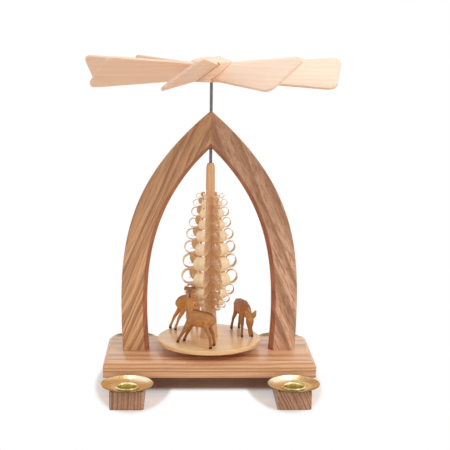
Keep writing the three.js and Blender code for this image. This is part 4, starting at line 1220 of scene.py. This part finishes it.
def addHead(form, pose):
    height, radii = deer["height"], deer["headRadius"]
    poll, look, across, crown = deerHead(pose)
    back, front = deer["headReach"]
    stations = []
    for at, share in enumerate(radii):
        reach = back + (front - back) * at / (len(radii) - 1)
        sink = -deer["headSink"] * math.sin(math.pi * clamped(reach))
        stations.append((poll + (look * deer["headLength"] * reach + crown * sink) * height,
                         share * height * deer["headSlimness"], share * height))
    addLimb(form, stations, across)
    width, length = deer["earWidth"] * height, deer["earLength"] * height
    for side in (-1, 1):
        direction = earWay(pose, side)
        root = poll + (crown * deer["earRise"] + across * side * deer["earAside"]) * width
        flat = (look + crown).cross(direction).normalized()
        addLimb(form, [(root + direction * length * share, width * girth, width * girth * deer["earThinness"])
                       for share, girth in deer["ear"]], flat, 10)


def markCoat(piece, pose):
    # how far each spot is part of the dark back, the dark lower legs, or the black hooves, nose and eyes
    height = deer["height"]
    poll, look, across, crown = deerHead(pose)
    length = deer["headLength"] * height
    nose = poll + look * length * coat["noseReach"]
    eyes = [poll + look * length * coat["eyeReach"]
            + (across * side * coat["eyeAside"] + crown * coat["eyeRise"]) * height for side in (-1, 1)]
    tips = [poll + earWay(pose, side) * deer["earLength"] * height for side in (-1, 1)]

    def near(spot, centres, radius):
        away = min((spot - centre).length for centre in centres) / height
        return clamped((radius - away) / (coat["softness"] * radius))

    def grown(value, mark):
        start, growth = coat[mark]
        return clamped((value - start) / growth)

    values = []
    for vertex in piece.data.vertices:
        spot, level = vertex.co, vertex.co.z / height
        ridge = grown(vertex.normal.z, "backFacing") * grown(level, "backLevel")
        ridge = max(ridge, near(spot, tips, coat["earTipRadius"]) * coat["earTipShare"])
        black = max(grown(level, "hoofLevel"), near(spot, [nose], coat["noseRadius"]),
                    near(spot, eyes, coat["eyeRadius"]))
        values += [ridge, grown(level, "legLevel"), black]
    layer = piece.data.attributes.new("coat", "FLOAT_VECTOR", "POINT")
    layer.data.foreach_set("vector", values)


def buildDeer(node, pose, finish):
    name = "carved" + "".join(part.capitalize() for part in node.split("_"))
    height = deer["height"]
    form = bmesh.new()
    addLimb(form, [(Vector((at, 0, up)) * height, wide * height, deep * height)
                   for at, up, deep, wide in deer["body"]], (0, 1, 0), 8)
    neck = zip([deer["neckStart"], *pose["neck"]], deer["neckRadius"])
    addLimb(form, [(Vector(point) * height, radius * deer["neckSlimness"] * height, radius * height)
                   for point, radius in neck], (0, 1, 0), 8)
    addHead(form, pose)
    root = Vector(deer["tailStart"])
    addLimb(form, [((root + Vector((back, 0, up))) * height, wide * height, wide * height)
                   for back, up, wide in deer["tail"]], (0, 1, 0), 10)
    for at, (hip, foot) in enumerate(zip(deer["hips"], pose["feet"])):
        addLeg(form, hip, foot, at // 2)
    figure = newPiece(name, form)
    skin = figure.modifiers.new("skin", "REMESH")
    skin.mode = "VOXEL"
    skin.voxel_size = deer["grainSize"]
    ease = figure.modifiers.new("ease", "SMOOTH")
    ease.factor = 0.5
    ease.iterations = 2
    settle(figure, 60)
    markCoat(figure, pose)
    figure.data.transform(Matrix.Scale(mm, 4))
    grainFrom(figure, (1, 0, 0.2), (0, 1, 0), (0.01 * len(name), 0, 0))
    place = Vector((*pose["place"], 0)) * deer["tableRadius"] + Vector((0, 0, deer["stand"]))
    heading = Matrix.Rotation(math.radians(pose["heading"]), 4, "Z")
    figure.data.transform(Matrix.Translation(place * mm) @ heading)
    figure.data.materials.append(finish)
    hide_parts(node)
    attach(figure, "spinner")
    print(name, "has", len(figure.data.polygons), "faces")


def coatMaterial(name, lift):
    material, tree, surface = newMaterial(name)
    place = placeIn(tree)
    late = groupIn(woodFigure, place, coat["figure"])["Late Wood"]
    cloud = smudgeAt(place, coat["cloudSize"], 1.0)
    back, legs, black = splitUp(placeIn(tree, "coat"))
    # lift paints light onto the coat: a paler tone over the whole deer
    shares = {"cloud": cloud + 0.5, "late": late, "legs": legs, "lift": lift, "back": back, "black": black}
    patch = smoothStep(noiseAt(place, coat["patchSize"], 2), *coat["patchEdge"])
    tint = mixColour(tree, patch, *coat["patches"])
    for label, (most, stain) in coat["stainsAndPaintedLight"].items():
        tint = mixColour(tree, shares[label] * most, tint, stain)
    feed(surface, {"Base Color": tint, "Roughness": smudgeAt(place, *coat["smudge"]) + coat["roughness"],
                   "Normal": bumpOf(cloud, coat["bump"], coat["bumpDepth"])})
    return material


# painted light: the left deer's copy is lifted paler, as it faces away from the key lamp
stainedLime = coatMaterial("stainedLime", 0.0)
stainedLimePaintedLight = coatMaterial("stainedLimePaintedLight", 0.62)
for deerNode, deerPose in deerPoses.items():
    buildDeer(deerNode, deerPose, stainedLimePaintedLight if deerNode == "deer_left" else stainedLime)
print("deer are carved")


# small fittings: countersunk screws from below, dowels across the apex, bearings of the spindle

fitting = {
    "headRadius": 3.4, "headHeight": 2.2, "shankRadius": 1.6, "plainShank": 3, "threadDepth": 0.22,
    "threadPitch": 1.3, "pointLength": 4, "face": 0.6, "footLength": 22, "legLength": 42,
    "recessWidth": 0.85, "recessReach": 1.9, "recessDepth": 1.2, "recessTaper": 0.45,
    "bearingRadius": 5, "bearingTop": 27.7, "bearingHeight": 5, "dimple": 2.2,
    "bushRadius": 2.5, "bushBore": 1.3, "bushLow": 194.5, "bushHigh": 203.5,
    "dowelRadius": 1.25, "dowelLength": 14, "dowelSpacing": 7.6, "dowelHeight": 208.15, "seed": 5,
}


def buildScrewSet():
    group, given, made = geometryGroup("screwSet", {
        "Count": "Int", "Half Across": "Float", "Half Along": "Float", "Seed": "Int"})
    index = out(nodeIn(group, "GeometryNodeInputIndex"))
    across = calc(group, "MODULO", index, 2.0) * 2.0 - 1.0
    along = calc(group, "FLOOR", index / 2.0) * 2.0 - 1.0
    spots = nodeIn(group, "GeometryNodePoints", {"Count": given["Count"], "Position": joined(
        group, x=across * given["Half Across"], y=along * given["Half Along"])})
    spin = joined(group, z=chanceIn(group, given["Seed"], "FLOAT") * turn)
    finishNodes(made, setOut(out(spots), given["Geometry"], Rotation=spin), given["Material"])
    return group


def screwProfile(length):
    head, shank, low = fitting["headRadius"], fitting["shankRadius"], fitting["face"]
    neck, end, pitch = low + fitting["headHeight"], low + length, fitting["threadPitch"]
    level = neck + fitting["plainShank"]
    profile = [(0, low), (head - 0.1, low), (head, low + 0.1), (head, low + 0.25), (shank, neck),
               (shank, level)]
    while level < end - fitting["pointLength"]:
        profile += [(shank - fitting["threadDepth"], level + pitch * 0.5), (shank, level + pitch)]
        level += pitch
    return profile + [(shank * 0.8, end - 1.6), (0, end - 0.1)]


def recessCutter(crosswise):
    # one arm of the cross recess, narrower at its bottom
    arm = bmesh.new()
    bmesh.ops.create_cube(arm, size=2)
    for vertex in arm.verts:
        inner = vertex.co.z > 0
        reach = fitting["recessReach"] * (fitting["recessTaper"] if inner else 1)
        x, y = (fitting["recessWidth"] / 2, reach) if crosswise else (reach, fitting["recessWidth"] / 2)
        z = fitting["face"] + (fitting["recessDepth"] if inner else -1)
        vertex.co = Vector((vertex.co.x * x, vertex.co.y * y, z)) * mm
    return newPiece("recess", arm)


def buildScrews(name, length, count, across, along, nodes):
    screw = turned(name, screwProfile(length), 32)
    cutFrom(screw, [recessCutter(False), recessCutter(True)])
    runNodes(screw, buildScrewSet(), {
        "Count": count, "Half Across": across * mm, "Half Along": along * mm, "Seed": fitting["seed"] + count,
        "Material": zincSteel})
    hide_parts(*nodes)
    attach(screw, "stand")


def buildFittings():
    ends, sides = ("front", "back"), ("left", "right")
    buildScrews("footScrews", fitting["footLength"], 4, stand["screwX"], stand["screwY"],
                [f"foot_screw_{end}_{side}" for end in ends for side in sides])
    buildScrews("legScrews", fitting["legLength"], 2, stand["legScrewX"], 0,
                [f"leg_screw_{side}" for side in sides])
    radius, top, dimple = fitting["bearingRadius"], fitting["bearingTop"], fitting["dimple"]
    low = top - fitting["bearingHeight"]
    cup = turned("bearingCup", [
        (0, low), (radius - 0.3, low), (radius, low + 0.3), (radius, top - 0.4), (radius - 0.12, top - 0.12),
        (radius - 0.4, top), (dimple + 0.15, top), (dimple - 0.05, top - 0.1), (0, top - dimple)], 48)
    bore, rim, low, high = fitting["bushBore"], fitting["bushRadius"], fitting["bushLow"], fitting["bushHigh"]
    bush = turned("guideBush", [
        (bore, low + 0.25), (bore + 0.25, low), (rim - 0.3, low), (rim, low + 0.3), (rim, high - 0.3),
        (rim - 0.3, high), (bore + 0.25, high), (bore, high - 0.25)], 48)
    for piece, node in ((cup, "lower_bearing_cup"), (bush, "upper_guide_bush")):
        piece.data.materials.append(bearingBrass)
        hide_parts(node)
        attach(piece, "stand")
    half, radius = fitting["dowelLength"] / 2, fitting["dowelRadius"]
    for side, end in zip((-1, 1), ends):
        pin = turned(f"apexDowel{end.capitalize()}", [
            (0, -half), (radius - 0.35, -half), (radius, -half + 0.5), (radius, half - 0.5),
            (radius - 0.35, half), (0, half)], 24)
        place = Vector((0, side * fitting["dowelSpacing"] / 2, fitting["dowelHeight"])) * mm
        pin.data.transform(Matrix.Translation(place) @ Matrix.Rotation(turn / 4, 4, "Y"))
        pin.data.materials.append(dowelBeech)
        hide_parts(f"apex_dowel_{end}")
        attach(pin, "stand")


buildFittings()
print("screws, dowels and bearings are made")
